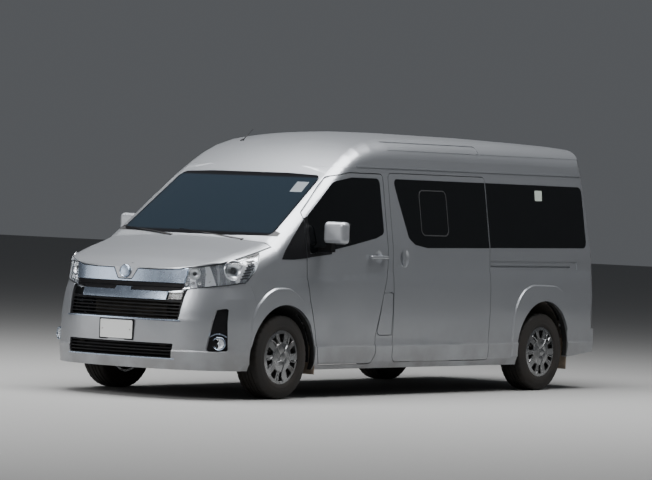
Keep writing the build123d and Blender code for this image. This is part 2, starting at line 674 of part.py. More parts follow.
def main():
    os.makedirs("parts", exist_ok=True)

    # The shell: outer form with its flares, without the inside and the wheel arches
    outer = envelope()
    proud_body = envelope(-FLARE_PROUD, 0, -FLARE_PROUD, -FLARE_PROUD)
    flares = [flare(outline, proud_body) for outline in (FRONT_FLARE, REAR_FLARE)]
    outer = fused(outer, flares, [mirrored(s) for s in solids_of(flares)])
    inner = envelope(SIDE_WALL, TOP_WALL, NOSE_WALL, REAR_WALL, SILL_BOTTOM - 90)
    arches = [arch_cut(FRONT_ARCH), arch_cut(REAR_ARCH)]
    arches += [mirrored(s) for s in arches]
    rear_rise = side_prism(((-4262, 100), (-4262, 300), (-5200, 402), (-5200, 100)), -FAR, FAR)
    shell = cut(outer, inner, arches, rear_rise)

    # Windscreen
    screen_way = (0.577, 0, 0.816)
    screen_tool = front_prism(WINDSCREEN, -780, 90, -GLASS_GAP)
    screen_recess = front_prism(WINDSCREEN, -780, 90)
    recess = cut(keep(outer, screen_recess), outer.moved(Location(Vector(*screen_way) * -(GLASS + GLASS_GAP))))
    opening = front_prism(WINDSCREEN, -780, 90, -42)
    write("windscreen", pane(outer, screen_tool, screen_way, GLASS))
    rest = cut(shell, recess, opening)

    # Front doors: the left one is kept, its mirror image serves on the right
    def door_region(grow):
        return keep(side_prism(DOOR, 300, FAR, grow), front_prism(DOOR_FRONT_VIEW, -1700, 100, grow))

    door, rest = carve(rest, door_region, SHUT_GAP)
    rest = cut(rest, [mirrored(t) for t in door_region(SHUT_GAP / 2)])

    # Bonnet, headlamps, grille, front bumper, cowl
    def bonnet_region(grow):
        w = UNDER_HALF_WIDTH + grow
        under = keep(side_prism(BONNET_UNDER, -w, w, grow), nose_form(NOSE_WALL + 1 - grow))
        tip = front_prism(BONNET_TIP, 840, 1100, grow)
        return [fused(side_prism(BONNET, -FAR, FAR, grow), under, tip)]

    bonnet, rest = carve(rest, bonnet_region, SHUT_GAP)
    latch_slot = block(LATCH_X - 34, LATCH_X + 34, -LATCH_HALF - TOUCH, LATCH_HALF + TOUCH, 900, 1090)
    badge_tool = rod((along(700), 0, BADGE_Z), (along(1100), 0, BADGE_Z), BADGE_RADIUS)
    badge = raised(outer, badge_tool, BADGE_PROUD, (1, 0, 0))
    write("bonnet", fused(biggest(cut(bonnet, latch_slot)), biggest(badge)))

    def lamp_region(grow):
        main = keep(side_prism(HEADLAMP, 300, FAR, grow), front_prism(HEADLAMP_FRONT_VIEW, 100, 1200, grow))
        return [fused(main, front_prism(SIDELIGHT, 780, 1100, grow))]

    lamp, rest = carve(rest, lamp_region, STATIC_GAP)
    rest = cut(rest, [mirrored(t) for t in lamp_region(STATIC_GAP / 2)])
    write("headlamp_left", lamp)
    write("headlamp_right", mirrored(biggest(lamp)))

    def chrome_region(grow):
        tool = front_prism(GRILLE_CHROME, 760, 1100, grow)
        return cut(tool, outer.moved(Location((-CHROME_DEPTH - grow, 0, 0))))

    chrome, rest = carve(rest, chrome_region, STATIC_GAP)
    slit = sunk(outer, front_prism(CHROME_SLIT, 760, 1100), SLIT_DEPTH, (1, 0, 0))
    write("grille_chrome", cut(chrome, slit))
    grille, rest = carve(rest, lengthwise(GRILLE, 700, 1100), STATIC_GAP)
    front_layer = sunk(outer, block(700, 1100, -700, 700, 600, 900), GRILLE_SET_BACK, (1, 0, 0))
    slots = [block(700, 1200, -y, y, z0, z1) for y, z0, z1 in GRILLE_SLOTS]
    write("grille", cut(biggest(grille), front_layer, slots))
    bumper, rest = carve(rest, across(BUMPER_FRONT), STATIC_GAP)
    for side, name in zip(SIDES, ("left", "right")):
        outline = [(side * p[0], *p[1:]) for p in FOG_BEZEL]
        fog, bumper = carve(bumper, lengthwise(outline, 400, 1100), STATIC_GAP)
        y, z, radius = FOG_LAMP
        bulb = rod((along(400), side * y, z), (along(1100), side * y, z), radius)
        pocket = cut(sunk(outer, block(400, 1100, side * 600, side * FAR, 380, 780), FOG_SET_BACK, (1, 0, 0)), bulb)
        write(f"fog_lamp_{name}", cut(biggest(fog), pocket))
    lower, bumper = carve(bumper, lengthwise(LOWER_GRILLE, 700, 1200), STATIC_GAP)
    front_layer = sunk(outer, block(700, 1100, -700, 700, 300, 500), LOWER_SET_BACK, (1, 0, 0))
    slots = [block(700, 1200, -y, y, z0, z1) for y, z0, z1 in LOWER_SLOTS]
    write("lower_grille", cut(biggest(lower), front_layer, slots))
    plate_seat = block(FRONT_PLATE[0], 1200, -FRONT_PLATE[1], FRONT_PLATE[1], FRONT_PLATE[2], FRONT_PLATE[3])
    plate_z = (FRONT_PLATE[2] + FRONT_PLATE[3]) / 2
    screws = [rod((along(FRONT_PLATE[0] + 30), y, plate_z), (along(FRONT_PLATE[0] - SCREW_DEPTH), y, plate_z), SCREW_R)
              for y in (-SCREW_SPACING / 2, SCREW_SPACING / 2)]
    bumper = biggest(bumper)
    write("bumper_front", cut(bumper, plate_seat, screws))
    cowl_outline = ((-852, 1262), (852, 1262), (852, 1430), (-852, 1430))
    cowl, rest = carve(rest, lengthwise(cowl_outline, -40, 112), STATIC_GAP)

    # Roof, tailgate, rear bumper
    roof, rest = carve(rest, across(ROOF), STATIC_GAP)
    gate_region = lengthwise(TAILGATE, -5100, -4500)
    gate, rest = carve(rest, gate_region, SHUT_GAP)
    roof = cut(roof, gate_region(SHUT_GAP / 2))
    seam = [sunk(outer, block(a0, a1, 600, FAR, z0, z1), ROOF_SEAM_DEPTH, (0, 0.7, 0.7))
            for a0, a1, z0, z1 in ROOF_SEAM]
    swage = sunk(outer, block(*SWAGE), SWAGE_DEPTH)
    drip = raised(outer, block(*DRIP_RAIL), DRIP_PROUD)
    roof = cut(biggest(roof), seam, swage, [mirrored(t) for t in swage])
    write("roof", fused(biggest(roof), drip, [mirrored(t) for t in drip]))
    gate_recess_tool = front_prism(TAILGATE_GLASS, -5100, -4500)
    gate_recess = cut(keep(outer, gate_recess_tool), outer.moved(Location((GLASS + GLASS_GAP, 0, 0))))
    gate_open = front_prism(TAILGATE_GLASS, -5100, -4500, -42)
    gate_glass = cut(keep(outer, front_prism(TAILGATE_GLASS, -5100, -4500, -GLASS_GAP)),
                     outer.moved(Location((GLASS, 0, 0))))
    gate_glass = [s for s in gate_glass if s.center().X < 0]
    plate_seat = block(-5100, REAR_PLATE[0], -REAR_PLATE[1], REAR_PLATE[1], REAR_PLATE[2], REAR_PLATE[3])
    plate_z = (REAR_PLATE[2] + REAR_PLATE[3]) / 2
    screws = [rod((along(REAR_PLATE[0] - 30), y, plate_z), (along(REAR_PLATE[0] + SCREW_DEPTH), y, plate_z), SCREW_R)
              for y in (-SCREW_SPACING / 2, SCREW_SPACING / 2)]
    a0, a1, half, z0, z1 = GATE_PEG
    gate_slot = block(a0 - 3, -4700, -half - TOUCH, half + TOUCH, z0, z1 + 6)
    write("tailgate", cut(gate, gate_recess, gate_open, plate_seat, screws, gate_slot))
    write("tailgate_glass", gate_glass)
    bumper_rear, rest = carve(rest, across(BUMPER_REAR), STATIC_GAP)
    gate_peg = [block(a0, a1, -half, half, z0, z1), block(a0 - 40, a1, -half, half, z0 - 20, 553)]
    bumper_rear = fused(biggest(bumper_rear), gate_peg)
    write("bumper_rear", bumper_rear)

    # Left side: door, fuel lid, tail lamp, front and rear side panels, sliding door
    left_box = block(-5200, 1300, 300, FAR, 0, 2400)
    left = keep(rest, left_box)

    lamp, left = carve(left, across(TAIL_LAMP, 790, FAR), STATIC_GAP)

    def glass(points):
        tool = side_prism(points, 300, FAR, -GLASS_GAP)
        shifted = outer.moved(Location((0, -GLASS, 0)))
        recess_tool = side_prism(points, 300, FAR)
        recess_of = cut(keep(outer, recess_tool), outer.moved(Location((0, -GLASS - GLASS_GAP, 0))))
        hole = side_prism(points, 300, FAR, -42)
        return biggest(cut(keep(outer, tool), shifted)), solids_of(recess_of, hole)

    door_glass, door_hole = glass(DOOR_GLASS)
    mid_glass, mid_hole = glass(MID_GLASS)
    rear_glass, rear_hole = glass(REAR_GLASS)
    door = biggest(cut(door, door_hole, peg(DOOR_PEG, TOUCH, 0, 9, 60), cup(*HANDLE_CUP)))
    bar = block(*HANDLE_BAR)
    bar = bar.fillet(9, bar.edges())
    feet = [block(a0, a1, 930, 966, 1178, 1195) for a0, a1 in HANDLE_FEET]
    door = biggest(fused(door, bar, feet))
    lid_tool = side_prism(FUEL_LID, 300, FAR, -SHUT_GAP / 2)
    lid = biggest(cut(keep(outer, lid_tool), outer.moved(Location((0, -12, 0)))))
    lid_pocket_tool = side_prism(FUEL_LID, 300, FAR, SHUT_GAP / 2)
    lid_pocket = cut(keep(outer, lid_pocket_tool), outer.moved(Location((0, -24, 0))))
    buffer = round_bar(LID_BUFFER[0], LID_BUFFER[1], LID_BUFFER[2], 925, 1000)
    buffer = keep(buffer, outer.moved(Location((0, -12 - TOUCH, 0))))
    side_front, left = carve(left, across(SIDE_FRONT, 300, FAR), STATIC_GAP)
    side_front = biggest(fused(biggest(side_front), peg(DOOR_PEG)))
    fender_box = block(-505, 1100, 300, FAR, 0, 1400)
    fender = biggest(keep(left, fender_box))
    rear_box = block(-5200, -1500, 300, FAR, 0, 2400)
    side_rear = keep(left, rear_box)
    side_rear_right = biggest(cut(side_rear, mid_hole, rear_hole))
    sliding, side_rear_left = carve(side_rear, across(SLIDING_DOOR, 300, FAR), SLIDING_GAP)
    sliding = biggest(cut(sliding, mid_hole, cup(*SLIDE_CUP)))
    sliding = biggest(fused(sliding, peg(SLIDE_PEG), keep(block(*SLIDE_BAR), outer)))
    band = sunk(outer, block(*RAIL_BAND), RAIL_BAND_DEPTH)
    slot = sunk(outer, block(*RAIL_SLOT), RAIL_SLOT_DEPTH)
    slide_seat = peg(SLIDE_PEG, TOUCH, 2, 2, TOUCH)
    side_rear_left = biggest(cut(side_rear_left, mid_hole, rear_hole, slide_seat, band, slot))

    # Wheel arch liners join the wings and the floor
    a, z, r, y_in = FRONT_ARCH
    ring = round_bar(a, z, r + LINER, y_in, 884).cut(round_bar(a, z, r, 400, 1000))
    ring = keep(ring, block(a - 700, a + 700, 400, 1000, 300, 1000))
    ring_join = round_bar(a, z, r + LINER, 880, 925).cut(round_bar(a, z, r, 400, 1000))
    ring_join = keep(ring_join, block(-255, 340, 400, 1000, 500, 1000))
    ring = cut(ring, side_prism(BUMPER_FRONT, 300, FAR, 6))
    fender = biggest(fused(fender, ring, ring_join))
    cuts_front = [round_bar(a, z, r + LINER + 4, y_in - 8, 1000)]
    cuts_front += [mirrored(s) for s in cuts_front]

    for side, name in zip(SIDES, ("left", "right")):
        turn = mirrored if side < 0 else (lambda s: s)
        write(f"fender_{name}", turn(fender))
        write(f"side_front_{name}", turn(side_front) if side < 0 else fused(biggest(cut(side_front, lid_pocket)), buffer))
        write(f"door_{name}", turn(door))
        write(f"door_glass_{name}", turn(door_glass))
        write(f"glass_mid_{name}", turn(mid_glass))
        write(f"glass_rear_{name}", turn(rear_glass))
        write(f"tail_lamp_{name}", turn(biggest(lamp)))
    write("fuel_lid", lid)
    write("sliding_door", sliding)
    write("side_rear_left", side_rear_left)
    write("side_rear_right", mirrored(side_rear_right))

    # Mirrors
    mx, my, mz = MIRROR_CENTRE
    sx, sy, sz = MIRROR_SIZE
    housing = block(mx - sx / 2, mx + sx / 2, my - sy / 2, my + sy / 2, mz - sz / 2, mz + sz / 2)
    housing = housing.fillet(38, housing.edges())
    arm = block(mx - 28, mx + 34, 900, my - 30, 1226, 1262)
    foot = block(mx - 24, mx + 30, my - 90, my - 30, 1226, mz - 60)
    mirror = biggest(cut(fused(housing, arm, foot), outer))
    write("mirror_left", mirror)
    write("mirror_right", mirrored(mirror))

    # Cowl with the bulkhead, and the floor with the rear wheel houses
    bulkhead = keep(block(20, 46, -862, 862, FLOOR_Z0, 1420), inner)
    bulkhead = cut(bulkhead, cuts_front)
    write("cowl", fused(biggest(cowl), bulkhead))
    floor = keep(block(-4900, -1516, -FAR, FAR, FLOOR_Z0, FLOOR_Z1), inner)
    floor += keep(block(-1520, 19, -FLOOR_HALF_WIDTH, FLOOR_HALF_WIDTH, FLOOR_Z0, FLOOR_Z1), inner)
    floor = [fused(floor)]
    floor = cut(floor, cuts_front)
    a, z, r, y_in = REAR_ARCH
    house = round_bar(a, z, r + LINER, y_in, 884)
    house_in = round_bar(a, z, r - 1, y_in + LINER, 900)
    above = block(a - 700, a + 700, 400, 1000, 470, 1000)
    house = keep(cut(house, house_in), above)
    houses = house + [mirrored(s) for s in house]
    house_cuts = [round_bar(a, z, r, y_in + 1, 1000)]
    house_cuts += [mirrored(s) for s in house_cuts]
    pedestals = [block(f - 470, f - 30, y0 + 60, y1 - 60, FLOOR_Z1 - 5, 706 - SEAT_GAP) for _, f, y0, y1 in SEATS]
    write("floor_pan", fused(cut(floor, house_cuts), houses, pedestals))
    for name, front, y0, y1 in SEATS:
        write(name, side_prism(seat_profile(front), y0, y1))

    # Dashboard with the steering column, and the steering wheel
    dash = side_prism((
        (19.5, 1170, 20), (-150, 1222, 30), (-330, 1196, 40), (-420, 1100, 40), (-390, 960, 40), (-280, 850, 30),
        (-120, 830, 20), (19.5, 850, 20),
    ), -835, 835)
    wheel_at = steering_plane()
    down = wheel_at.z_dir * -1
    column = rod(tuple(wheel_at.origin + down * (28 + COLUMN_GAP)), tuple(wheel_at.origin + down * 300), 34)
    hood = side_prism(((-200, 1190), (-300, 1262, 30), (-400, 1236, 20), (-405, 1130), (-220, 1130)), -600, -260)
    write("dashboard", fused(dash, column, hood))
    rim_plane = Plane(wheel_at.origin - wheel_at.z_dir * 13, wheel_at.x_dir, wheel_at.z_dir)
    rim = Solid.make_cylinder(STEERING_RADIUS, 26, rim_plane).cut(
        Solid.make_cylinder(STEERING_RADIUS - 27, 26, rim_plane))
    hub = Solid.make_cylinder(54, 38, Plane(wheel_at.origin - wheel_at.z_dir * 28, wheel_at.x_dir, wheel_at.z_dir))
    spokes = []
    for angle in STEERING_SPOKES:
        spoke = Solid.make_box(STEERING_RADIUS - 15, 34, 12).moved(Location((0, -17, -9)))
        spokes.append(spoke.rotate(Axis.Z, angle).moved(wheel_at.location))
    write("steering_wheel", fused(rim, hub, spokes))

    # Frame, engine, tank, exhaust
    rails = [block(-4860, 990, y0, y1, 420, 505) for y0, y1 in ((RAIL_Y0, RAIL_Y1), (-RAIL_Y1, -RAIL_Y0))]
    rails = keep(rails, inner.moved(Location((-2 * TOUCH, 0, 0))))
    rails = cut(rails, bumper_rear.moved(Location((2 * TOUCH, 0, 0))))
    rails = [r for r in rails if r.volume > 1e7]
    rails += [block(x - 30, x + 30, s * RAIL_Y0, s * RAIL_Y1, 500, FLOOR_Z0 - TOUCH)
              for s in SIDES for x in (-350, -1500, -2900, -4600)]
    crosses = [block(x - 35, x + 35, -RAIL_Y0 - 10, RAIL_Y0 + 10, 465, 500) for x in (-4700, -3000, -1000, 860)]
    write("frame_rails", fused(rails, crosses))
    block_top = block(90, 640, -270, 270, 400, 980)
    gearbox = block(-620, 110, -140, 140, 405, 590)
    feet = [block(300, 370, s * 250, s * (RAIL_Y0 - TOUCH), 436, 490) for s in SIDES]
    write("engine", fused(block_top, gearbox, feet))
    latch = block(790, 812, -LATCH_HALF, LATCH_HALF, 960, 1084)
    write("radiator", fused(block(780, 830, -380, 380, 500 + TOUCH, 980), latch))
    write("fuel_tank", block(-2560, -1640, RAIL_Y1 + TOUCH, 850, 300, 560))
    run = ((-640, -250, 390), (-1400, -320, 380), (-3300, -320, 380), (-3520, -320, 470), (-4200, -320, 470),
           (-4640, -320, 400))
    pipe = []
    for p, q in zip(run, run[1:]):
        pipe.append(rod((along(p[0]), p[1], p[2]), (along(q[0]), q[1], q[2]), 28))
        pipe.append(Solid.make_sphere(28, angle1=-90, angle2=90, angle3=360).moved(Location((along(q[0]), q[1], q[2]))))
    silencer = rod((along(-1900), -320, 380), (along(-2600), -320, 380), 85)
    hanger = block(-3008, -2992, -326, -314, 400, 465 - TOUCH)
    write("exhaust", fused(pipe, silencer, hanger))

    # Rear axle with springs and propeller shaft
    ra = -WHEELBASE
    tube = round_bar(ra, HUB_Z, 44, -700, 700)
    diff = Solid.make_sphere(145, angle1=-90, angle2=90, angle3=360).moved(Location((along(ra), 0, HUB_Z)))
    stubs = [round_bar(ra, HUB_Z, 27, s * 690, s * (REAR_TRACK / 2 + 17.5)) for s in SIDES]
    drums = [round_bar(ra, HUB_Z, 140, s * 706, s * 790) for s in SIDES]
    springs = [block(ra - 640, ra + 640, s * 530 - 32, s * 530 + 32, 262, 292) for s in SIDES]
    seats = [block(ra - 50, ra + 50, s * 530 - 36, s * 530 + 36, 275, 340) for s in SIDES]
    seats += [block(ra + d - 22, ra + d + 22, s * (RAIL_Y1 + TOUCH), s * 562, 266, 470)
              for s in SIDES for d in (-615, 615)]
    shaft = rod((along(ra), 0, HUB_Z), (along(-640), 0, 420), 34)
    write("rear_axle", fused(tube, diff, stubs, drums, springs, seats, shaft))

    # Front suspension, knuckles
    cross = block(-90, 90, -500, 500, 225, 300)
    fs = [cross]
    for s in SIDES:
        ball_low = rod((along(0), s * KINGPIN_Y, HUB_Z - KNUCKLE_HALF_HEIGHT - BALL_GAP - 16),
                       (along(0), s * KINGPIN_Y, HUB_Z - KNUCKLE_HALF_HEIGHT - BALL_GAP), 22)
        ball_top = rod((along(0), s * KINGPIN_Y, HUB_Z + KNUCKLE_HALF_HEIGHT + BALL_GAP),
                       (along(0), s * KINGPIN_Y, HUB_Z + KNUCKLE_HALF_HEIGHT + BALL_GAP + 16), 22)
        fs += [ball_low, ball_top]
        fs.append(block(-130, 130, s * (RAIL_Y1 + TOUCH), s * 500, 232, 480))
        fs.append(block(-76, 76, s * 586, s * 614, 228, 252))
        for d in (-1, 1):
            fs.append(rod((along(0), s * KINGPIN_Y, HUB_Z - 109), (along(d * 120), s * 484, HUB_Z - 100), 11))
            fs.append(rod((along(0), s * KINGPIN_Y, HUB_Z + 109), (along(d * 115), s * 484, HUB_Z + 112), 11))
        fs.append(rod((along(0), s * 600, 238), (along(0), s * 600, 760), 42))
    write("front_suspension", fused(fs))
    for s, name in zip(SIDES, ("left", "right")):
        post = rod((along(0), s * KINGPIN_Y, HUB_Z - KNUCKLE_HALF_HEIGHT),
                   (along(0), s * KINGPIN_Y, HUB_Z + KNUCKLE_HALF_HEIGHT), 24)
        stub = round_bar(0, HUB_Z, 27, s * (KINGPIN_Y - 20), s * (FRONT_TRACK / 2 + 17.5))
        disc = round_bar(0, HUB_Z, 145, s * 792, s * 806)
        write(f"knuckle_{name}", fused(post, stub, disc))
        for end, track, ahead in (("front", FRONT_TRACK, 0.0), ("rear", REAR_TRACK, ra)):
            tyre, rim = wheel_pieces(s, s * track / 2, ahead)
            write(f"tyre_{end}_{name}", tyre)
            write(f"wheel_{end}_{name}", rim)


if __name__ == "__main__":
    main()
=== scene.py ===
import bmesh
import bpy
import math
from mathutils import Matrix, Vector
from mathutils.bvhtree import BVHTree


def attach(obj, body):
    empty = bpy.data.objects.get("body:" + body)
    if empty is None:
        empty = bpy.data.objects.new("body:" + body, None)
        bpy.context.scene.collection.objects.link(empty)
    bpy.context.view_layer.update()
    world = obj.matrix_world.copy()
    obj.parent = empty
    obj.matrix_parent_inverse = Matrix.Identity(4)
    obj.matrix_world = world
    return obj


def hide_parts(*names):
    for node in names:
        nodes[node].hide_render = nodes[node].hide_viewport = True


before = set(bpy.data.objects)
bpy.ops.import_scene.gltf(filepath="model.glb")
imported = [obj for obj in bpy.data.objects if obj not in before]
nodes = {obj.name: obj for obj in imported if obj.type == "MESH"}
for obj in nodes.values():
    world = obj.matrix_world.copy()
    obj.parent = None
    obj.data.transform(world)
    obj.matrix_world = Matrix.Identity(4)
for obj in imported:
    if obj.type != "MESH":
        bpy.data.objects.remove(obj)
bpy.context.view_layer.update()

# Body skin: pressed steel panels, spot-welded into a shell or hung on hinges, then sprayed
# silver, with fine metal flakes under a clear coat. Road dust and painted shade darken the
# sills and lower doors, and the arches are dull black inside.
FRONT_AXLE_X = 1.9325
SIDES = (("left", 1), ("right", -1))
PAINT_SILVER = (0.40, 0.415, 0.44, 1)
DUST_AND_SHADE_TONE = (0.15, 0.14, 0.125, 1)
LINER_BLACK = (0.010, 0.010, 0.010, 1)
DUST_SHADE_TOP, DUST_SHADE_BOTTOM, DUST_SHADE_MOST = 0.70, 0.22, 0.60
ARCHES = ((FRONT_AXLE_X + 0.006, 0.340, 0.445), (FRONT_AXLE_X - 3.857, 0.394, 0.418))
LINER_EDGE = (0.944, 0.950)
FLAKE_SCALE = 850.0
PANEL_NODES = ["roof", "bonnet", "tailgate", "sliding_door", "fuel_lid", "bumper_front", "bumper_rear"]
PANEL_NODES += [f"{part}_{side}" for part in ("fender", "side_front", "side_rear", "door")
                for side, _ in SIDES]


def new_finish(name, colour, roughness, metallic=0.0, **inputs):
    """A plain material and its shader. An input's name has underscores for spaces."""
    finish = bpy.data.materials.new(name)
    finish.use_nodes = True
    shader = finish.node_tree.nodes["Principled BSDF"]
    values = {"Base_Color": colour, "Roughness": roughness, "Metallic": metallic, **inputs}
    for key, value in values.items():
        shader.inputs[key.replace("_", " ")].default_value = value
    return finish, shader


def add_node(owner, kind, **settings):
    """A new node in the tree that another node or a socket belongs to."""
    node = owner.id_data.nodes.new(kind)
    for key, value in settings.items():
        if key in node.inputs:
            node.inputs[key].default_value = value
        else:
            setattr(node, key, value)
    return node


def feed(value, socket):
    """Gives a socket a number or a colour, or else a link from another socket."""
    if isinstance(value, (float, tuple)):
        socket.default_value = value
    else:
        socket.id_data.links.new(value, socket)


def pattern(shader, kind, output, **settings):
    """An output of a node that is fed with the piece's own coordinates."""
    node = add_node(shader, kind, **settings)
    feed(add_node(shader, "ShaderNodeTexCoord").outputs["Object"], node.inputs["Vector"])
    return node.outputs[output]


def grain(shader, scale, detail=4.0):
    return pattern(shader, "ShaderNodeTexNoise", "Fac", Scale=scale, Detail=detail)


def coordinate(shader, axis):
    return pattern(shader, "ShaderNodeSeparateXYZ", axis)


def span(value, from_min, from_max, to_min, to_max):
    """A value carried over from one range to another, and held at the ends."""
    ends = {"From Min": from_min, "From Max": from_max, "To Min": to_min, "To Max": to_max}
    node = add_node(value, "ShaderNodeMapRange", **ends)
    feed(value, node.inputs["Value"])
    return node.outputs["Result"]


def combined(operation, first, second=0.0):
    node = add_node(first, "ShaderNodeMath", operation=operation)
    feed(first, node.inputs[0])
    feed(second, node.inputs[1])
    return node.outputs["Value"]


def mixed(share, first, second):
    """Goes from the first colour to the second with the share."""
    mix = add_node(share, "ShaderNodeMix", data_type="RGBA")
    for socket, value in ((0, share), (6, first), (7, second)):
        feed(value, mix.inputs[socket])
    return mix.outputs[2]


def two_colours(shader, share, first, second):
    feed(mixed(share, first, second), shader.inputs["Base Color"])


def input_by(shader, name, share, low, high):
    """Lets one of the shader's inputs go from low to high with the share."""
    feed(span(share, 0.0, 1.0, low, high), shader.inputs[name])


def rough_by(shader, share, low, high):
    input_by(shader, "Roughness", share, low, high)


def bumped(shader, height, strength, distance):
    node = add_node(shader, "ShaderNodeBump", Strength=strength, Distance=distance)
    feed(height, node.inputs["Height"])
    feed(node.outputs["Normal"], shader.inputs["Normal"])


def flaked(shader):
    bumped(shader, grain(shader, FLAKE_SCALE, 2.0), 0.04, 0.0002)


def dust_and_shade_share(shader):
    """Dust and painted shade that thicken downwards, broken up into clouds."""
    low = span(coordinate(shader, "Z"), DUST_SHADE_BOTTOM, DUST_SHADE_TOP, DUST_SHADE_MOST, 0.0)
    cloud = span(grain(shader, 4.0, 9.0), 0.32, 0.66, 0.25, 1.0)
    return combined("MULTIPLY", low, cloud)


def axle_distance(shader, x, z):
    """How far a place is from an axle, seen from the side."""
    away = [combined("SUBTRACT", coordinate(shader, axis), middle) for axis, middle in (("X", x), ("Z", z))]
    return combined("SQRT", combined("ADD", *(combined("MULTIPLY", value, value) for value in away)))


def smooth_cad(node, finish, angle=28):
    """Gives a carried-over piece one smooth skin with crisp edges, and its finish."""
    piece = nodes[node]
    piece.data.materials.clear()
    piece.data.materials.append(finish)
    piece.data.polygons.foreach_set("use_smooth", [True] * len(piece.data.polygons))
    weld = piece.modifiers.new("Weld", "WELD")
    weld.merge_threshold = 0.00001
    split = piece.modifiers.new("Edges", "EDGE_SPLIT")
    split.split_angle = math.radians(angle)
    piece.modifiers.new("Normals", "WEIGHTED_NORMAL")


silver_paint, shader = new_finish("silver_paint", PAINT_SILVER, 0.36, 0.8, Coat_Weight=0.5, Coat_Roughness=0.06)
# Painted shade with the road dust: the paint turns darker and duller towards the sills.
dust_and_shade = dust_and_shade_share(shader)
behind = span(combined("ABSOLUTE", coordinate(shader, "Y")), *LINER_EDGE, 1.0, 0.0)
near = [span(axle_distance(shader, x, z), r, r + 0.002, 1.0, 0.0) for x, z, r in ARCHES]
liner = combined("MULTIPLY", combined("MAXIMUM", *near), behind)
two_colours(shader, liner, mixed(dust_and_shade, PAINT_SILVER, DUST_AND_SHADE_TONE), LINER_BLACK)
dull = combined("MAXIMUM", dust_and_shade, liner)
rough_by(shader, dull, 0.34, 0.85)
input_by(shader, "Metallic", dull, 0.8, 0.0)
input_by(shader, "Coat Weight", dull, 0.5, 0.0)
flaked(shader)
for node in PANEL_NODES:
    smooth_cad(node, silver_paint)

# Covers on the skin: thin black quarter panels and strips, glued flush to the painted steel.
# Each is lifted off the panel under it, so that it follows the same curve.
COVER_LIFT, COVER_THICKNESS = 0.0012, 0.0018
BLACK_PLASTIC = (0.006, 0.006, 0.007, 1)


def ahead(place):
    """The frame's x of a place in millimetres ahead of the front axle."""
    return FRONT_AXLE_X + place / 1000


def placed(*points):
    """Side-view corners, from millimetres ahead of the front axle and metres up."""
    return [(ahead(place), z) for place, z in points]


def put_in_scene(name, bm, finish, body, smooth_angle=35):
    """Makes the finished mesh a piece that rides with its body."""
    bmesh.ops.recalc_face_normals(bm, faces=bm.faces)
    mesh = bpy.data.meshes.new(name)
    bm.to_mesh(mesh)
    bm.free()
    piece = bpy.data.objects.new(name, mesh)
    bpy.context.scene.collection.objects.link(piece)
    piece.data.materials.append(finish)
    if smooth_angle:
        mesh.polygons.foreach_set("use_smooth", [True] * len(mesh.polygons))
        split = piece.modifiers.new("Edges", "EDGE_SPLIT")
        split.split_angle = math.radians(smooth_angle)
    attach(piece, body)
    return piece


def cut(bm, place, out, clear=False):
    """Cuts a mesh along a plane, and can clear what lies on the plane's outer side."""
    geometry = list(bm.verts) + list(bm.edges) + list(bm.faces)
    bmesh.ops.bisect_plane(bm, geom=geometry, dist=0.000001, plane_co=place, plane_no=out, clear_outer=clear)


def trim(bm, corners, across):
    """Cuts a mesh down to a convex outline that is seen along one way."""
    middle = sum(corners, Vector()) / len(corners)
    for a, b in zip(corners, corners[1:] + corners[:1]):
        out = (b - a).cross(across).normalized()
        if out.dot(middle - a) > 0:
            out = -out
        cut(bm, a, out, clear=True)


def skin_patch(node, outline, view, facing, least):
    """A copy of a panel's outer skin inside a convex outline, seen along view ("side" or "front")."""
    bm = bmesh.new()
    bm.from_mesh(nodes[node].data)
    bmesh.ops.remove_doubles(bm, verts=bm.verts, dist=0.00002)
    bm.normal_update()
    away = [f for f in bm.faces if f.normal.dot(Vector(facing)) < least]
    bmesh.ops.delete(bm, geom=away, context="FACES")
    if view == "side":
        trim(bm, [Vector((u, 0, z)) for u, z in outline], Vector((0, 1, 0)))
    else:
        trim(bm, [Vector((0, u, z)) for u, z in outline], Vector((1, 0, 0)))
    return bm


def pierce(bm, centre, way, radius, sides=24):
    """Cuts a round hole through a sheet, along one way."""
    start = way.orthogonal().normalized()
    for i in range(sides):
        out = Matrix.Rotation(math.tau * i / sides, 3, way) @ start
        cut(bm, centre + out * radius, out)
    inside = [f for f in bm.faces if (f.calc_center_median() - centre).cross(way).length < radius]
    bmesh.ops.delete(bm, geom=inside, context="FACES")


def cover(name, node, outlines, view, facing, finish, thickness=COVER_THICKNESS, lift=COVER_LIFT,
          body="body", least=0.25, holes=()):
    """A thin sheet on a panel's skin, made of one convex outline or several that meet."""
    whole = bmesh.new()
    for outline in outlines:
        part = skin_patch(node, outline, view, facing, least)
        mesh = bpy.data.meshes.new("patch")
        part.to_mesh(mesh)
        part.free()
        whole.from_mesh(mesh)
        bpy.data.meshes.remove(mesh)
    bmesh.ops.remove_doubles(whole, verts=whole.verts, dist=0.0002)
    whole.normal_update()
    moves = {v: v.normal.copy() for v in whole.verts}
    for v, normal in moves.items():
        v.co += normal * lift
    for centre, way, radius in holes:
        pierce(whole, centre, way, radius)
    bmesh.ops.solidify(whole, geom=whole.faces, thickness=-thickness)
    return put_in_scene(name, whole, finish, body)


black_trim, shader = new_finish("black_trim", BLACK_PLASTIC, 0.35, Specular_IOR_Level=0.3)
rough_by(shader, grain(shader, 30.0), 0.22, 0.42)
bumped(shader, grain(shader, 600.0), 0.04, 0.0003)
QUARTER_BODY = placed((54, 1.145), (-10, 1.232), (-118, 1.338), (-240, 1.446), (-291, 1.490), (-291, 1.170))
QUARTER_DOOR = placed((-301, 1.172), (-301, 1.500), (-343, 1.520), (-343, 1.178))
SILL_STRIP = placed((-343, 1.178), (-343, 1.206), (-640, 1.238), (-640, 1.207))
for side, sign in SIDES:
    outward = (0, sign, 0.2)
    cover(f"quarter_cover_{side}", f"side_front_{side}", [QUARTER_BODY], "side", outward, black_trim)
    cover(f"door_corner_cover_{side}", f"door_{side}", [QUARTER_DOOR, SILL_STRIP], "side", outward,
          black_trim, body=f"door_{side}")

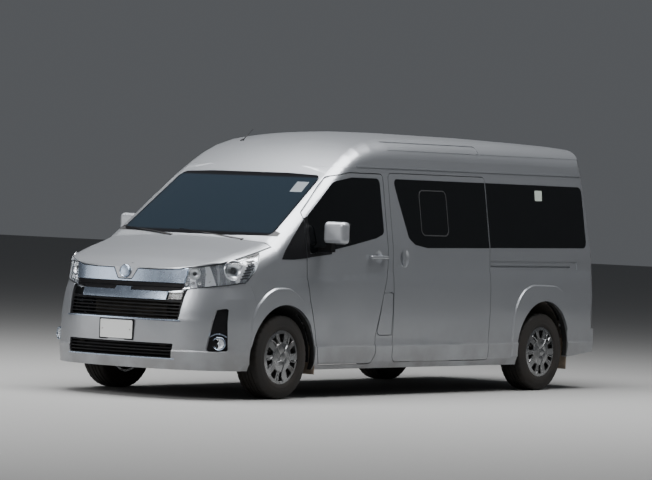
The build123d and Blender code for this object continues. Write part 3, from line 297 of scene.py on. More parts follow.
# Glass: dark safety glass along the sides and back, and a lighter grey-blue tint in the
# windscreen, whose edges are printed black.
TINT_SIDE = (0.003, 0.0035, 0.004, 1)
TINT_SCREEN = (0.012, 0.019, 0.027, 1)
BORDER = (0.006, 0.006, 0.007, 1)
SCREEN_FOOT, SCREEN_HEAD, SCREEN_SIDE, SCREEN_LEAN = (1.362, 1.375), (1.835, 1.85), (0.925, 0.935), 0.105
side_glass, shader = new_finish("tinted_glass", TINT_SIDE, 0.04, Specular_IOR_Level=0.35)
rough_by(shader, grain(shader, 3.0, 6.0), 0.02, 0.07)
bumped(shader, grain(shader, 1.8, 2.0), 0.03, 0.004)
screen_glass, shader = new_finish("screen_glass", TINT_SCREEN, 0.05, Transmission_Weight=0.2,
                                  Specular_IOR_Level=0.45)
height = coordinate(shader, "Z")
across = combined("ABSOLUTE", coordinate(shader, "Y"))
leaning = combined("ADD", across, combined("MULTIPLY", height, SCREEN_LEAN))
ends = combined("MAXIMUM", span(height, *SCREEN_FOOT, 1.0, 0.0),
                span(height, *SCREEN_HEAD, 0.0, 1.0))
border = combined("MAXIMUM", ends, span(leaning, *SCREEN_SIDE, 0.0, 1.0))
two_colours(shader, border, TINT_SCREEN, BORDER)
bumped(shader, grain(shader, 1.5, 2.0), 0.03, 0.004)
for node in ("tailgate_glass", "door_glass_left", "door_glass_right", "glass_mid_left", "glass_mid_right",
             "glass_rear_left", "glass_rear_right"):
    smooth_cad(node, side_glass)
smooth_cad("windscreen", screen_glass)

# Vent and stickers: a thin grey ring with round corners marks the sliding vent in each
# middle pane. A pale sticker lies on the left rear pane and a faded one on the windscreen.
VENT = (ahead(-2368), ahead(-1954), 1.375, 1.772)
VENT_RADIUS, VENT_WIDTH = 0.055, 0.009
CORNER_STEPS = 5
SIDE_STICKER = placed((-3882, 1.713), (-3768, 1.713), (-3775, 1.805), (-3889, 1.805))
SCREEN_STICKER = ((0.587, 1.717), (0.702, 1.717), (0.690, 1.803), (0.575, 1.803))
STICKER = {"thickness": 0.0006, "lift": 0.0007}


def rounded_ring(x0, x1, z0, z1, radius, width):
    """Quads of a frame with round corners, between its outer edge and its inner one."""
    rows = []
    for i in range(4 * CORNER_STEPS):
        corner, step = divmod(i, CORNER_STEPS)
        angle = math.radians(90 * corner + 90 / (CORNER_STEPS - 1) * step)
        x = x1 - radius if corner in (0, 3) else x0 + radius
        z = z1 - radius if corner in (0, 1) else z0 + radius
        rows.append([(x + math.cos(angle) * r, z + math.sin(angle) * r) for r in (radius, radius - width)])
    return [(a[0], b[0], b[1], a[1]) for a, b in zip(rows, rows[1:] + rows[:1])]


frame_grey, shader = new_finish("vent_frame", (0.040, 0.041, 0.043, 1), 0.4)
rough_by(shader, grain(shader, 50.0), 0.3, 0.5)
paper, shader = new_finish("sticker_paper", (0.42, 0.47, 0.42, 1), 0.5)
rough_by(shader, grain(shader, 40.0), 0.35, 0.6)
bumped(shader, grain(shader, 90.0), 0.05, 0.0003)
faded_paper, shader = new_finish("faded_paper", (0.10, 0.12, 0.135, 1), 0.4)
rough_by(shader, grain(shader, 40.0), 0.3, 0.5)
for side, sign in SIDES:
    ring = rounded_ring(*VENT, VENT_RADIUS, VENT_WIDTH)
    cover(f"vent_frame_{side}", f"glass_mid_{side}", ring, "side", (0, sign, 0.1), frame_grey)
cover("side_sticker", "glass_rear_left", [SIDE_STICKER], "side", (0, 1, 0.1), paper, **STICKER)
cover("screen_sticker", "windscreen", [SCREEN_STICKER], "front", (1, 0, 0.5), faded_paper, **STICKER)

# Grille: a bright plated bar with a notch for the badge, over a black moulded insert. The
# slit between the bright bands holds a thin black slat. Plated lips along the bumper's openings
# are painted highlights on its painted edges. The badge is a plain plated disc in a round rim.
CHROME = (0.45, 0.53, 0.65, 1)
SLIT_FIELDS = (
    ((-0.60, 0.869), (-0.087, 0.869), (-0.079, 0.897), (-0.079, 0.941), (-0.60, 0.941)),
    ((0.60, 0.869), (0.087, 0.869), (0.079, 0.897), (0.079, 0.941), (0.60, 0.941)),
    ((-0.079, 0.897), (0.079, 0.897), (0.079, 0.941), (-0.079, 0.941)),
)
SLAT_FIELD = ((-0.60, 0.904), (0.60, 0.904), (0.60, 0.912), (-0.60, 0.912))
LIP_HIGHLIGHTS = (("upper", 0.634, 0.592, 0.005), ("lower", 0.322, 0.560, -0.0065))
LIP_HEIGHT, LIP_THICKNESS = 0.009, 0.007
BADGE_X, BADGE_Z, BADGE_TILT, BADGE_RADIUS = ahead(927.5), 1.020, math.radians(6.4), 0.054
chrome, shader = new_finish("bright_plating", CHROME, 0.10, 1.0)
rough_by(shader, grain(shader, 14.0, 6.0), 0.22, 0.32)
bumped(shader, grain(shader, 6.0, 2.0), 0.03, 0.002)
insert_black, shader = new_finish("grille_black", BLACK_PLASTIC, 0.4, Specular_IOR_Level=0.15)
dirt = span(grain(shader, 12.0, 8.0), 0.50, 0.8, 0.0, 0.05)
two_colours(shader, dirt, BLACK_PLASTIC, DUST_AND_SHADE_TONE)
rough_by(shader, grain(shader, 25.0), 0.35, 0.6)
bumped(shader, grain(shader, 500.0), 0.05, 0.0003)
smooth_cad("grille_chrome", chrome)
for node in ("grille", "lower_grille"):
    smooth_cad(node, insert_black)
FRONT = {"view": "front", "facing": (1, 0, 0), "least": 0.5}
cover("grille_slit", "grille_chrome", SLIT_FIELDS, finish=insert_black, thickness=0.001, lift=0.0008, **FRONT)
cover("grille_slat", "grille_chrome", [SLAT_FIELD], finish=insert_black, thickness=0.010, lift=0.001, **FRONT)


def turned(bm, profile, axis, centre, steps):
    """Spins a profile of (along, out) points about an axis through the centre into a round piece."""
    axis = Vector(axis).normalized()
    side = axis.orthogonal().normalized()
    points = [bm.verts.new(Vector(centre) + axis * a + side * r) for a, r in profile]
    edges = [bm.edges.new(pair) for pair in zip(points, points[1:])]
    bmesh.ops.spin(bm, geom=points + edges, cent=centre, axis=axis, angle=math.tau, steps=steps,
                   use_merge=True)
    bmesh.ops.remove_doubles(bm, verts=bm.verts, dist=0.00002)


def turned_piece(name, profile, axis, centre, steps, finish, body, smooth_angle=35):
    """One turned form as a piece of its own."""
    bm = bmesh.new()
    turned(bm, profile, axis, centre, steps)
    put_in_scene(name, bm, finish, body, smooth_angle)


# Painted highlights: bright plated bars for the light caught on the bumper's painted edges.
for name, z, half, lift in LIP_HIGHLIGHTS:
    field = [(-half, z), (half, z), (half, z + LIP_HEIGHT), (-half, z + LIP_HEIGHT)]
    cover(f"grille_lip_{name}", "bumper_front", [field], finish=chrome, thickness=LIP_THICKNESS, lift=lift,
          **FRONT)
r = BADGE_RADIUS
BADGE_PROFILE = ((-0.006, r), (0.004, r), (0.008, r - 0.003), (0.009, r - 0.007), (0.007, r - 0.011),
                 (0.004, r - 0.013), (0.0045, r - 0.02), (0.0062, 0.018), (0.0066, 0.0))
turned_piece("badge", BADGE_PROFILE, (math.cos(BADGE_TILT), 0, math.sin(BADGE_TILT)), (BADGE_X, 0, BADGE_Z),
             48, chrome, "bonnet", 40)

# Headlamps: a clear moulded lens over a bright plated housing. A deep main bowl and a small
# inner one face out through it, over three tiny ones. A white web parts them from the tail,
# and dark bars cross the tail under a dark sheet of painted shade.
LENS = (0.92, 0.94, 0.96, 1)
PLATED = (0.72, 0.74, 0.77, 1)
HOUSING_DEPTH = 0.017
LAMP_FIELD = placed((236, 1.222), (830, 1.080), (905, 1.050), (905, 0.868), (480, 0.950), (330, 1.125))
LAMP_BOWLS = (
    (575, 0.870, 1.062, 0.082, 0.013), (806, 0.633, 1.026, 0.050, 0.010), (838, 0.585, 0.940, 0.014, 0.005),
    (812, 0.632, 0.944, 0.014, 0.005), (786, 0.676, 0.946, 0.014, 0.005),
)
PIERCED, HOLE_SHARE = 2, 0.98
WEB = placed((748, 1.095), (733, 1.098), (706, 0.934), (768, 0.918))
TAIL_BAND = placed((440, 1.146), (486, 1.138), (575, 0.958), (545, 0.962))
TAIL_PAINTED_SHADE = placed((500, 1.150), (292, 1.186), (262, 1.205), (500, 1.156))
TAIL_EDGE = placed((262, 1.207), (350, 1.116), (448, 0.997), (472, 0.967))
SEAL_TOP = placed((238, 1.219), (825, 1.0705), (855, 1.0555), (892, 1.0465))
SEAL_LOW = placed((484, 0.959), (797, 0.906), (871, 0.884))
TAIL_BARS, BAR_TOP, BAR_STEP, BAR_HEIGHT, BAR_RISE = 7, 1.126, 0.0235, 0.010, 0.010
BAR_INNER, BAR_OUTER = (452, 92), (362, 118)


def on_skin(node, place):
    """The nearest point of a panel, and which way it faces there."""
    bm = bmesh.new()
    bm.from_mesh(nodes[node].data)
    point, normal, _, _ = BVHTree.FromBMesh(bm).find_nearest(Vector(place))
    bm.free()
    return point, normal


def strips(line, width):
    """Upright quads of one width along a line of side-view points."""
    return [(a, b, (b[0], b[1] + width), (a[0], a[1] + width)) for a, b in zip(line, line[1:])]


lens, shader = new_finish("clear_lens", LENS, 0.02, Transmission_Weight=1.0, IOR=1.06, Coat_Weight=0.6,
                          Coat_Roughness=0.03)
rough_by(shader, grain(shader, 30.0), 0.01, 0.06)
bumped(shader, grain(shader, 8.0, 2.0), 0.05, 0.002)
housing, shader = new_finish("lamp_housing", PLATED, 0.22, 0.9)
flutes = pattern(shader, "ShaderNodeTexWave", "Fac", Scale=5.0, Distortion=1.0)
rough_by(shader, flutes, 0.14, 0.30)
bumped(shader, flutes, 0.10, 0.006)
white_plating, shader = new_finish("lamp_web", (0.62, 0.64, 0.67, 1), 0.3, 0.35)
rough_by(shader, grain(shader, 40.0), 0.22, 0.38)
bumped(shader, grain(shader, 30.0, 2.0), 0.1, 0.002)
mirror_metal, shader = new_finish("reflector", (0.90, 0.92, 0.95, 1), 0.22, 0.7)
bumped(shader, pattern(shader, "ShaderNodeTexVoronoi", "Distance", Scale=38.0), 0.2, 0.006)
# Dark ribs, seals and bulb shields, and a patch of painted shade over the tail.
rib_dark_and_shade, shader = new_finish("lamp_ribs_and_shade", (0.030, 0.032, 0.035, 1), 0.3, 0.2)
rough_by(shader, grain(shader, 60.0), 0.2, 0.4)
bars = []
for i in range(TAIL_BARS):
    share = (i + 0.5) / TAIL_BARS
    inner, outer = (ahead(start + reach * share) for start, reach in (BAR_INNER, BAR_OUTER))
    z = BAR_TOP - BAR_STEP * i
    low, high = (inner, z), (outer, z + BAR_RISE)
    bars.append((low, high, (outer, high[1] + BAR_HEIGHT), (inner, z + BAR_HEIGHT)))
LAYERS = (
    ("housing", [LAMP_FIELD], housing, 0.002, -HOUSING_DEPTH),
    ("web", [WEB], white_plating, 0.006, -0.008),
    ("tail_band", [TAIL_BAND], white_plating, 0.008, -0.004),
    # Painted shade: a dark sheet over the top of the tail.
    ("tail_painted_shade", [TAIL_PAINTED_SHADE], rib_dark_and_shade, 0.006, -0.006),
    ("tail_edge", strips(TAIL_EDGE, -0.012), white_plating, 0.004, -0.001),
    ("seal_top", strips(SEAL_TOP, -0.008), rib_dark_and_shade, 0.003, -0.0004),
    ("seal_low", strips(SEAL_LOW, 0.007), rib_dark_and_shade, 0.003, -0.0004),
    ("tail_bars", bars, rib_dark_and_shade, 0.010, -0.004),
)
for side, sign in SIDES:
    lamp = f"headlamp_{side}"
    smooth_cad(lamp, lens)
    seats = []
    for place, y, z, radius, depth in LAMP_BOWLS:
        seats.append((*on_skin(lamp, (ahead(place), y * sign, z)), radius, depth))
    holes = [(point, normal, radius * HOLE_SHARE) for point, normal, radius, _ in seats[:PIERCED]]
    for part, outlines, finish, thickness, lift in LAYERS:
        cover(f"lamp_{part}_{side}", lamp, outlines, "side", (0.65, 0.65 * sign, 0.15), finish, thickness, lift,
              least=0.35, holes=holes if part == "housing" else ())
    bowls, bulbs = bmesh.new(), bmesh.new()
    for point, normal, r, depth in seats:
        bowl_profile = ((-0.008, r * 1.06), (0.0, r * 1.06), (0.003, r * 1.02), (0.0, r * 0.97),
                        (-0.18 * r, r * 0.90), (-0.36 * r, r * 0.72), (-0.48 * r, r * 0.48),
                        (-0.50 * r, r * 0.30), (-0.50 * r, 0.0))
        bulb_profile = ((-0.49 * r, r * 0.34), (-0.30 * r, r * 0.34), (-0.26 * r, r * 0.28),
                        (-0.16 * r, r * 0.20), (-0.12 * r, 0.0))
        turned(bowls, bowl_profile, normal, point - normal * depth, 40)
        turned(bulbs, bulb_profile, normal, point - normal * depth, 24)
    put_in_scene(f"lamp_bowls_{side}", bowls, mirror_metal, "body")
    put_in_scene(f"lamp_bulbs_{side}", bulbs, rib_dark_and_shade, "body")

# Fog lamps: a round lamp in a plated ring sits in each black bezel, under a thin bright arc.
# A white reflector stands close behind its clear glass.
FOG_X, FOG_Y, FOG_Z = ahead(726), 0.852, 0.464
FOG_WAY = (0.87, 0.49, 0.03)
ARC_Y, ARC_Z, ARC_STEP, ARC_RISE, ARC_WIDTH = 0.790, 0.510, 0.012, 0.0021, 0.012
r = 0.046
FOG_GLASS = ((-0.012, r + 0.004), (0.004, r + 0.004), (0.007, r), (0.003, r - 0.003), (0.006, r * 0.7),
             (0.008, r * 0.3), (0.0085, 0.0))
FOG_REFLECTOR = ((0.002, r - 0.003), (-0.003, r * 0.86), (-0.007, r * 0.6), (-0.008, r * 0.34),
                 (-0.002, r * 0.28), (0.001, r * 0.16), (0.002, 0.0))
FOG_RING = ((-0.010, r + 0.009), (0.006, r + 0.008), (0.009, r + 0.004), (0.006, r + 0.001),
            (-0.010, r + 0.001))
for side, sign in SIDES:
    smooth_cad(f"fog_lamp_{side}", insert_black)
    way = Vector((FOG_WAY[0], FOG_WAY[1] * sign, FOG_WAY[2])).normalized()
    centre = Vector((FOG_X, FOG_Y * sign, FOG_Z))
    turned_piece(f"fog_glass_{side}", FOG_GLASS, way, centre, 32, lens, "body")
    turned_piece(f"fog_reflector_{side}", FOG_REFLECTOR, way, centre, 32, white_plating, "body")
    turned_piece(f"fog_ring_{side}", FOG_RING, way, centre, 40, chrome, "body")
    arc = [((ARC_Y + ARC_STEP * i) * sign, ARC_Z + ARC_RISE * i * (7 - i)) for i in range(8)]
    cover(f"fog_arc_{side}", f"fog_lamp_{side}", strips(arc, ARC_WIDTH), "front", (0.8, 0.4 * sign, 0),
          chrome, thickness=0.006, lift=0.001, least=0.4)

# Top of the tailgate: the pressed steel panel that carries the gate up to its hinges under
# the roof's edge, painted with the body. It carries on the curves of the gate and the roof.
TOP_Y, TOP_LOW, TOP_HIGH = 0.730, 1.9398, 2.062
TOP_HALF = ((0.6864, TOP_LOW), (0.6686, 1.9868), (0.6558, 2.0092), (0.6370, 2.0269), (0.6138, 2.0381),
            (0.5883, 2.042))
TOP_OUTLINE = TOP_HALF + tuple((-y, z) for y, z in reversed(TOP_HALF))
TOP_CELLS = (60, 10)
TOP_THICKNESS = 0.012
GATE_SIDE, ROOF_SIDE = 0.680, 0.700


def rear_x(node):
    """A function that gives how far back a panel's skin stands, at a place across and up."""
    bm = bmesh.new()
    bm.from_mesh(nodes[node].data)
    skin = BVHTree.FromBMesh(bm)
    bm.free()
    return lambda y, z: skin.ray_cast(Vector((-4, y, z)), Vector((1, 0, 0)))[0].x


roof_x, gate_x = rear_x("roof"), rear_x("tailgate")


def low_x(y):
    """The skin along the gate's upper edge, and along the roof beside it."""
    if abs(y) > ROOF_SIDE:
        return roof_x(y, TOP_LOW + 0.004)
    inner = max(-GATE_SIDE, min(GATE_SIDE, y))
    return 2 * gate_x(inner, TOP_LOW - 0.008) - gate_x(inner, TOP_LOW - 0.016)


bm = bmesh.new()
bmesh.ops.create_grid(bm, x_segments=TOP_CELLS[0], y_segments=TOP_CELLS[1], size=1)
ends = [(low_x(TOP_Y * way), roof_x(TOP_Y * way, TOP_HIGH)) for way in (-1, 1)]
for v in bm.verts:
    u, w = (v.co.x + 1) / 2, (v.co.y + 1) / 2
    y, z = v.co.x * TOP_Y, TOP_LOW + (TOP_HIGH - TOP_LOW) * w
    side_z = max(z, TOP_LOW + 0.004)
    upright = (1 - w) * low_x(y) + w * roof_x(y, TOP_HIGH)
    level = (1 - u) * roof_x(-TOP_Y, side_z) + u * roof_x(TOP_Y, side_z)
    left, right = ((1 - w) * low + w * high for low, high in ends)
    v.co = Vector((upright + level - (1 - u) * left - u * right, y, z))
trim(bm, [Vector((0, y, z)) for y, z in TOP_OUTLINE], Vector((1, 0, 0)))
bmesh.ops.recalc_face_normals(bm, faces=bm.faces)
if sum(f.normal.x for f in bm.faces) > 0:
    bmesh.ops.reverse_faces(bm, faces=bm.faces)
bmesh.ops.solidify(bm, geom=bm.faces, thickness=TOP_THICKNESS)
gate_top = put_in_scene("tailgate_top", bm, silver_paint, "tailgate", 40)

# Tail lamps: red moulded lenses that wrap round the rear corners, over fine prisms. A pale
# reversing window crosses them between the red fields.
RED = (0.26, 0.006, 0.008, 1)
CLEAR_FIELD = (0.55, 0.50, 0.50, 1)
WINDOW_LOW, WINDOW_HIGH = (0.985, 0.988), (1.112, 1.115)
red_lens, shader = new_finish("red_lens", RED, 0.1, Coat_Weight=1.0, Coat_Roughness=0.04)
height = coordinate(shader, "Z")
window = combined("MULTIPLY", span(height, *WINDOW_LOW, 0.0, 1.0),
                  span(height, *WINDOW_HIGH, 1.0, 0.0))
two_colours(shader, window, RED, CLEAR_FIELD)
bumped(shader, pattern(shader, "ShaderNodeTexVoronoi", "Distance", Scale=95.0), 0.5, 0.003)
for side, sign in SIDES:
    smooth_cad(f"tail_lamp_{side}", red_lens)

# Door mirrors: a silver-painted shell on a black moulded arm, with a flat glass in a dark
# rim on its rear face.
MIRROR_Y, MIRROR_Z, MIRROR_BACK = 1.106, 1.388, ahead(-535)
MIRROR_HALF_Y, MIRROR_HALF_Z, MIRROR_CORNER = 0.108, 0.093, 0.034
ARM_TOP = (1.302, 1.305)
two_tone, shader = new_finish("mirror_shell", PAINT_SILVER, 0.36, 0.6, Coat_Weight=0.5)
black_part = span(coordinate(shader, "Z"), *ARM_TOP, 1.0, 0.0)
two_colours(shader, black_part, PAINT_SILVER, BLACK_PLASTIC)
flaked(shader)
mirror_glass, shader = new_finish("mirror_glass", (0.55, 0.58, 0.60, 1), 0.03, 1.0)
bumped(shader, grain(shader, 2.5, 2.0), 0.03, 0.003)
MIRROR_LAYERS = (("rim", 0.006, 0.0035, black_trim), ("glass", 0.016, 0.0048, mirror_glass))


def block(size):
    bm = bmesh.new()
    bmesh.ops.create_cube(bm, size=1)
    bmesh.ops.scale(bm, vec=size, verts=bm.verts)
    return bm


def rounded(bm, edges, radius, segments):
    bmesh.ops.bevel(bm, geom=edges, offset=radius, segments=segments, affect="EDGES", profile=0.5,
                    material=-1)


def edges_along(bm, axis):
    """The edges of a block that run along one axis."""
    return [e for e in bm.edges if abs((e.verts[0].co - e.verts[1].co).normalized()[axis]) > 0.9]


for side, sign in SIDES:
    smooth_cad(f"mirror_{side}", two_tone, 40)
    for name, inset, deep, finish in MIRROR_LAYERS:
        bm = block((deep, 2 * (MIRROR_HALF_Y - inset), 2 * (MIRROR_HALF_Z - inset)))
        rounded(bm, edges_along(bm, 0), MIRROR_CORNER - inset * 0.8, 6)
        place = (MIRROR_BACK - deep / 2 + 0.001, MIRROR_Y * sign, MIRROR_Z)
        bmesh.ops.translate(bm, vec=place, verts=bm.verts)
        put_in_scene(f"mirror_{name}_{side}", bm, finish, f"door_{side}", 30)

# Wheels: steel rims behind silver covers. The middle of a cover is a shallow dome. Five long
# blades run twisted from it to the rim between five short ones, the drum behind them is near
# black, partly painted shade, and a rubber valve comes through near the rim.
HUB_Z = 0.349
WHEELS = (("front", ahead(0), 0.8275), ("rear", ahead(-3860), 0.825))
WHEEL_SILVER = (0.30, 0.305, 0.31, 1)
COVER_FACE, DOME_RADIUS = 0.1135, 0.124
BLADE_COUNT, BLADE_STEPS, BLADE_SIDES = 10, 8, 8
BLADES = ((0.030, 0.201, 0.013, 15, 0.013, 0.013), (0.112, 0.201, 0.017, -5, 0.006, 0.0))
VALVE_REACH, VALVE_ANGLE = 0.196, 0.3
DRUM_PROFILE = ((0.070, 0.060), (0.072, 0.186), (0.088, 0.191), (0.0885, 0.189), (0.0745, 0.184),
                (0.0725, 0.060))
r, face = DOME_RADIUS, COVER_FACE
DOME_PROFILE = ((0.100, r), (face, r), (face + 0.005, r - 0.006), (face + 0.010, r * 0.70),
                (face + 0.014, r * 0.36), (face + 0.011, r * 0.30), (face + 0.013, r * 0.26),
                (face + 0.0155, r * 0.12), (face + 0.0160, 0.0))
VALVE_PROFILE = ((0.100, 0.005), (0.122, 0.0045), (0.126, 0.0055), (0.134, 0.005), (0.136, 0.0))
cover_silver, shader = new_finish("wheel_silver", WHEEL_SILVER, 0.22, 0.95)
brake_dust = span(grain(shader, 9.0, 8.0), 0.45, 0.72, 0.0, 0.55)
two_colours(shader, brake_dust, WHEEL_SILVER, (0.08, 0.07, 0.06, 1))
rough_by(shader, brake_dust, 0.24, 0.7)
bumped(shader, grain(shader, 300.0), 0.05, 0.0003)
# Near black: the drum's own dark steel and painted shade behind the cover's windows.
drum_black_and_shade, shader = new_finish("drum_black_and_shade", (0.012, 0.011, 0.010, 1), 0.8)
rough_by(shader, grain(shader, 40.0), 0.6, 0.95)
bumped(shader, grain(shader, 120.0), 0.3, 0.001)


def section(centre, across, rise):
    """The place of a unit section: its centre, and its two widths as vectors."""
    along = across.cross(rise).normalized()
    return Matrix.Translation(centre) @ Matrix((across, rise, along)).transposed().to_4x4()


def drawn(bm, places, sides):
    """A solid drawn out along a row of places, from a round section to the last of them."""
    made = bmesh.ops.create_circle(bm, cap_ends=True, segments=sides, radius=0.5, matrix=places[0])
    face = made["verts"][0].link_faces[0]
    for before, after in zip(places, places[1:]):
        made = bmesh.ops.extrude_face_region(bm, geom=[face])
        face = next(g for g in made["geom"] if isinstance(g, bmesh.types.BMFace))
        bmesh.ops.transform(bm, matrix=after @ before.inverted(), verts=face.verts)


def blade_places(i, hub, out):
    """Places along one blade of a cover: it turns as it runs out, and swells in the middle."""
    root, tip, width, twist, height, crown = BLADES[i % 2]
    places = []
    for step in range(BLADE_STEPS + 1):
        share = step / BLADE_STEPS
        turn = twist * (math.sin(math.pi * share) + 1.2 * (share - 0.5))
        angle = math.radians(360 / BLADE_COUNT * (i + 1) + turn)
        along = Vector((math.cos(angle), 0, math.sin(angle)))
        across = Vector((-math.sin(angle), 0, math.cos(angle))) * width * (0.55 + 0.75 * share)
        reach = root + (tip - root) * share
        proud = COVER_FACE + crown * max(0.0, 1 - (reach / DOME_RADIUS) ** 2)
        rise = 0.008 + height * math.sin(math.pi * (0.12 + 0.76 * share))
        places.append(section(hub + along * reach + out * proud, across, out * rise))
    return places


for end, x, track in WHEELS:
    for side, sign in SIDES:
        body = f"wheel_{end}_{side}"
        smooth_cad(body, cover_silver, 30)
        out = Vector((0, sign, 0))
        hub = Vector((x, track * sign, HUB_Z))
        turned_piece(f"drum_{end}_{side}", DRUM_PROFILE, out, hub, 48, drum_black_and_shade, body)
        bm = bmesh.new()
        for i in range(BLADE_COUNT):
            drawn(bm, blade_places(i, hub, out), BLADE_SIDES)
        turned(bm, DOME_PROFILE, out, hub, 48)
        put_in_scene(f"cover_blades_{end}_{side}", bm, cover_silver, body, 30)
        valve = hub + VALVE_REACH * Vector((math.cos(VALVE_ANGLE), 0, math.sin(VALVE_ANGLE)))
        turned_piece(f"valve_{end}_{side}", VALVE_PROFILE, out, valve, 12, drum_black_and_shade, body)

# Tyres: moulded rubber, 235 mm wide, with four straight grooves, a blocked shoulder and
# fine rings on the sidewall. The tread is worn pale by dry road dust.
TYRE_STEPS, BLOCK_STEPS = 160, 4
RUBBER = (0.008, 0.0075, 0.007, 1)
RUBBER_DUST = (0.026, 0.021, 0.017, 1)
TREAD_R, GROOVE = 0.349, 0.0075
BLOCK_Y, BLOCK_R, BLOCK_DEPTH = 0.080, 0.333, 0.0055
tyre_rubber, shader = new_finish("tyre_rubber", RUBBER, 0.8)
dust_and_shade = span(grain(shader, 6.0, 9.0), 0.30, 0.72, 0.15, 0.95)
two_colours(shader, dust_and_shade, RUBBER, RUBBER_DUST)
rough_by(shader, dust_and_shade, 0.65, 0.95)
bumped(shader, grain(shader, 260.0), 0.12, 0.0008)
half_profile = [
    (0.0, TREAD_R), (0.011, TREAD_R), (0.0125, TREAD_R - GROOVE), (0.0185, TREAD_R - GROOVE), (0.020, TREAD_R),
    (0.050, TREAD_R), (0.0515, TREAD_R - GROOVE), (0.0585, TREAD_R - GROOVE), (0.060, TREAD_R - 0.0003),
    (0.086, TREAD_R - 0.0015), (0.098, 0.3445), (0.106, 0.3375), (0.1095, 0.329), (0.1120, 0.318),
    (0.1128, 0.316), (0.1143, 0.306), (0.1150, 0.3045), (0.1158, 0.290), (0.1164, 0.288), (0.1167, 0.270),
    (0.1160, 0.262), (0.1166, 0.260), (0.1158, 0.250), (0.1120, 0.236), (0.1085, 0.227), (0.1060, 0.224),
    (0.1040, 0.2235),
]
profile = [(-a, r) for a, r in reversed(half_profile)] + half_profile[1:]
profile = [(-0.090, 0.204)] + profile + [(0.090, 0.204), (-0.090, 0.204)]
for end, x, track in WHEELS:
    for side, sign in SIDES:
        hub = Vector((x, track * sign, HUB_Z))
        bm = bmesh.new()
        turned(bm, profile, (0, 1, 0), hub, TYRE_STEPS)
        for v in bm.verts:
            place = v.co - hub
            step = round(math.atan2(place.z, place.x) / (math.tau / TYRE_STEPS)) % BLOCK_STEPS
            if abs(place.y) > BLOCK_Y and step == 0 and place.xz.length > BLOCK_R:
                v.co -= Vector((place.x, 0, place.z)).normalized() * BLOCK_DEPTH
        piece = put_in_scene(f"tread_{end}_{side}", bm, tyre_rubber, f"wheel_{end}_{side}", 32)
        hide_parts(f"tyre_{end}_{side}")

# Mud flaps: thick rubber sheets hung from the arch behind each wheel, brown with dry mud.
# Their free lower edge is bowed a little.
FLAPS = (
    ("front", -452, -440, 0.735, 0.945, 0.200, 0.470), ("rear", -4300, -4290, 0.715, 0.935, 0.187, 0.500),
)
FLAP_THICKNESS, FLAP_BOW = 0.007, 0.006
FLAP_BLACK, DRY_MUD = (0.028, 0.026, 0.024, 1), (0.26, 0.205, 0.155, 1)
mud_rubber, shader = new_finish("mud_flap_rubber", FLAP_BLACK, 0.85)
mud = span(grain(shader, 7.0, 9.0), 0.25, 0.55, 0.45, 1.0)
two_colours(shader, mud, FLAP_BLACK, DRY_MUD)
bumped(shader, grain(shader, 90.0), 0.3, 0.0015)
for end, x_top, x_bottom, y_in, y_out, z_bottom, z_top in FLAPS:
    for side, sign in SIDES:
        bm = bmesh.new()
        bmesh.ops.create_grid(bm, x_segments=6, y_segments=8, size=0.5)
        for v in bm.verts:
            share, rise = v.co.x + 0.5, v.co.y + 0.5
            bow = FLAP_BOW * math.sin(math.pi * share) * (1 - rise)
            x = ahead(x_bottom + (x_top - x_bottom) * rise) - bow
            v.co = Vector((x, sign * (y_in + (y_out - y_in) * share), z_bottom + (z_top - z_bottom) * rise))
        bmesh.ops.recalc_face_normals(bm, faces=bm.faces)
        bmesh.ops.solidify(bm, geom=bm.faces, thickness=FLAP_THICKNESS)
        rounded(bm, [e for e in bm.edges if e.calc_face_angle(0) > 1.0], 0.0015, 2)
        put_in_scene(f"mud_flap_{end}_{side}", bm, mud_rubber, "body")

# Number plates: blank pressed aluminium, 340 by 150 mm, with a raised rim, screwed to a
# black holder at the front and in the recess of the tailgate at the back.
PLATE_SIZE, HOLDER_MARGIN = (0.340, 0.150), (0.024, 0.022)
PLATES = (("front", ahead(1004.5), 0.545, 1, "body"), ("rear", ahead(-4838.5), 0.843, -1, "tailgate"))
HOLDER_DEPTH, PLATE_DEPTH = 0.006, 0.0025
RIM_WIDTH, RIM_SLOPE, RIM_HEIGHT = 0.0045, 0.0015, 0.0012
SCREW_HALF_SPACING = 0.145
SCREW_PROFILE = ((-0.001, 0.0065), (0.0015, 0.0065), (0.0032, 0.004), (0.0036, 0.0))
plate_white, shader = new_finish("plate_white", (0.72, 0.73, 0.72, 1), 0.4)
rough_by(shader, grain(shader, 18.0, 6.0), 0.3, 0.55)
bumped(shader, grain(shader, 60.0), 0.05, 0.0004)
screw_steel, shader = new_finish("screw_steel", (0.42, 0.42, 0.42, 1), 0.35, 1.0)
rough_by(shader, grain(shader, 200.0), 0.25, 0.5)


def rounded_slab(size, radius, place, edge=0.0008):
    """A thin upright slab across the van with round corners and softened edges."""
    bm = block(size)
    rounded(bm, edges_along(bm, size.index(min(size))), radius, 5)
    rounded(bm, [e for e in bm.edges if e.calc_face_angle(0) > 1.2], edge, 2)
    bmesh.ops.translate(bm, vec=place, verts=bm.verts)
    return bm


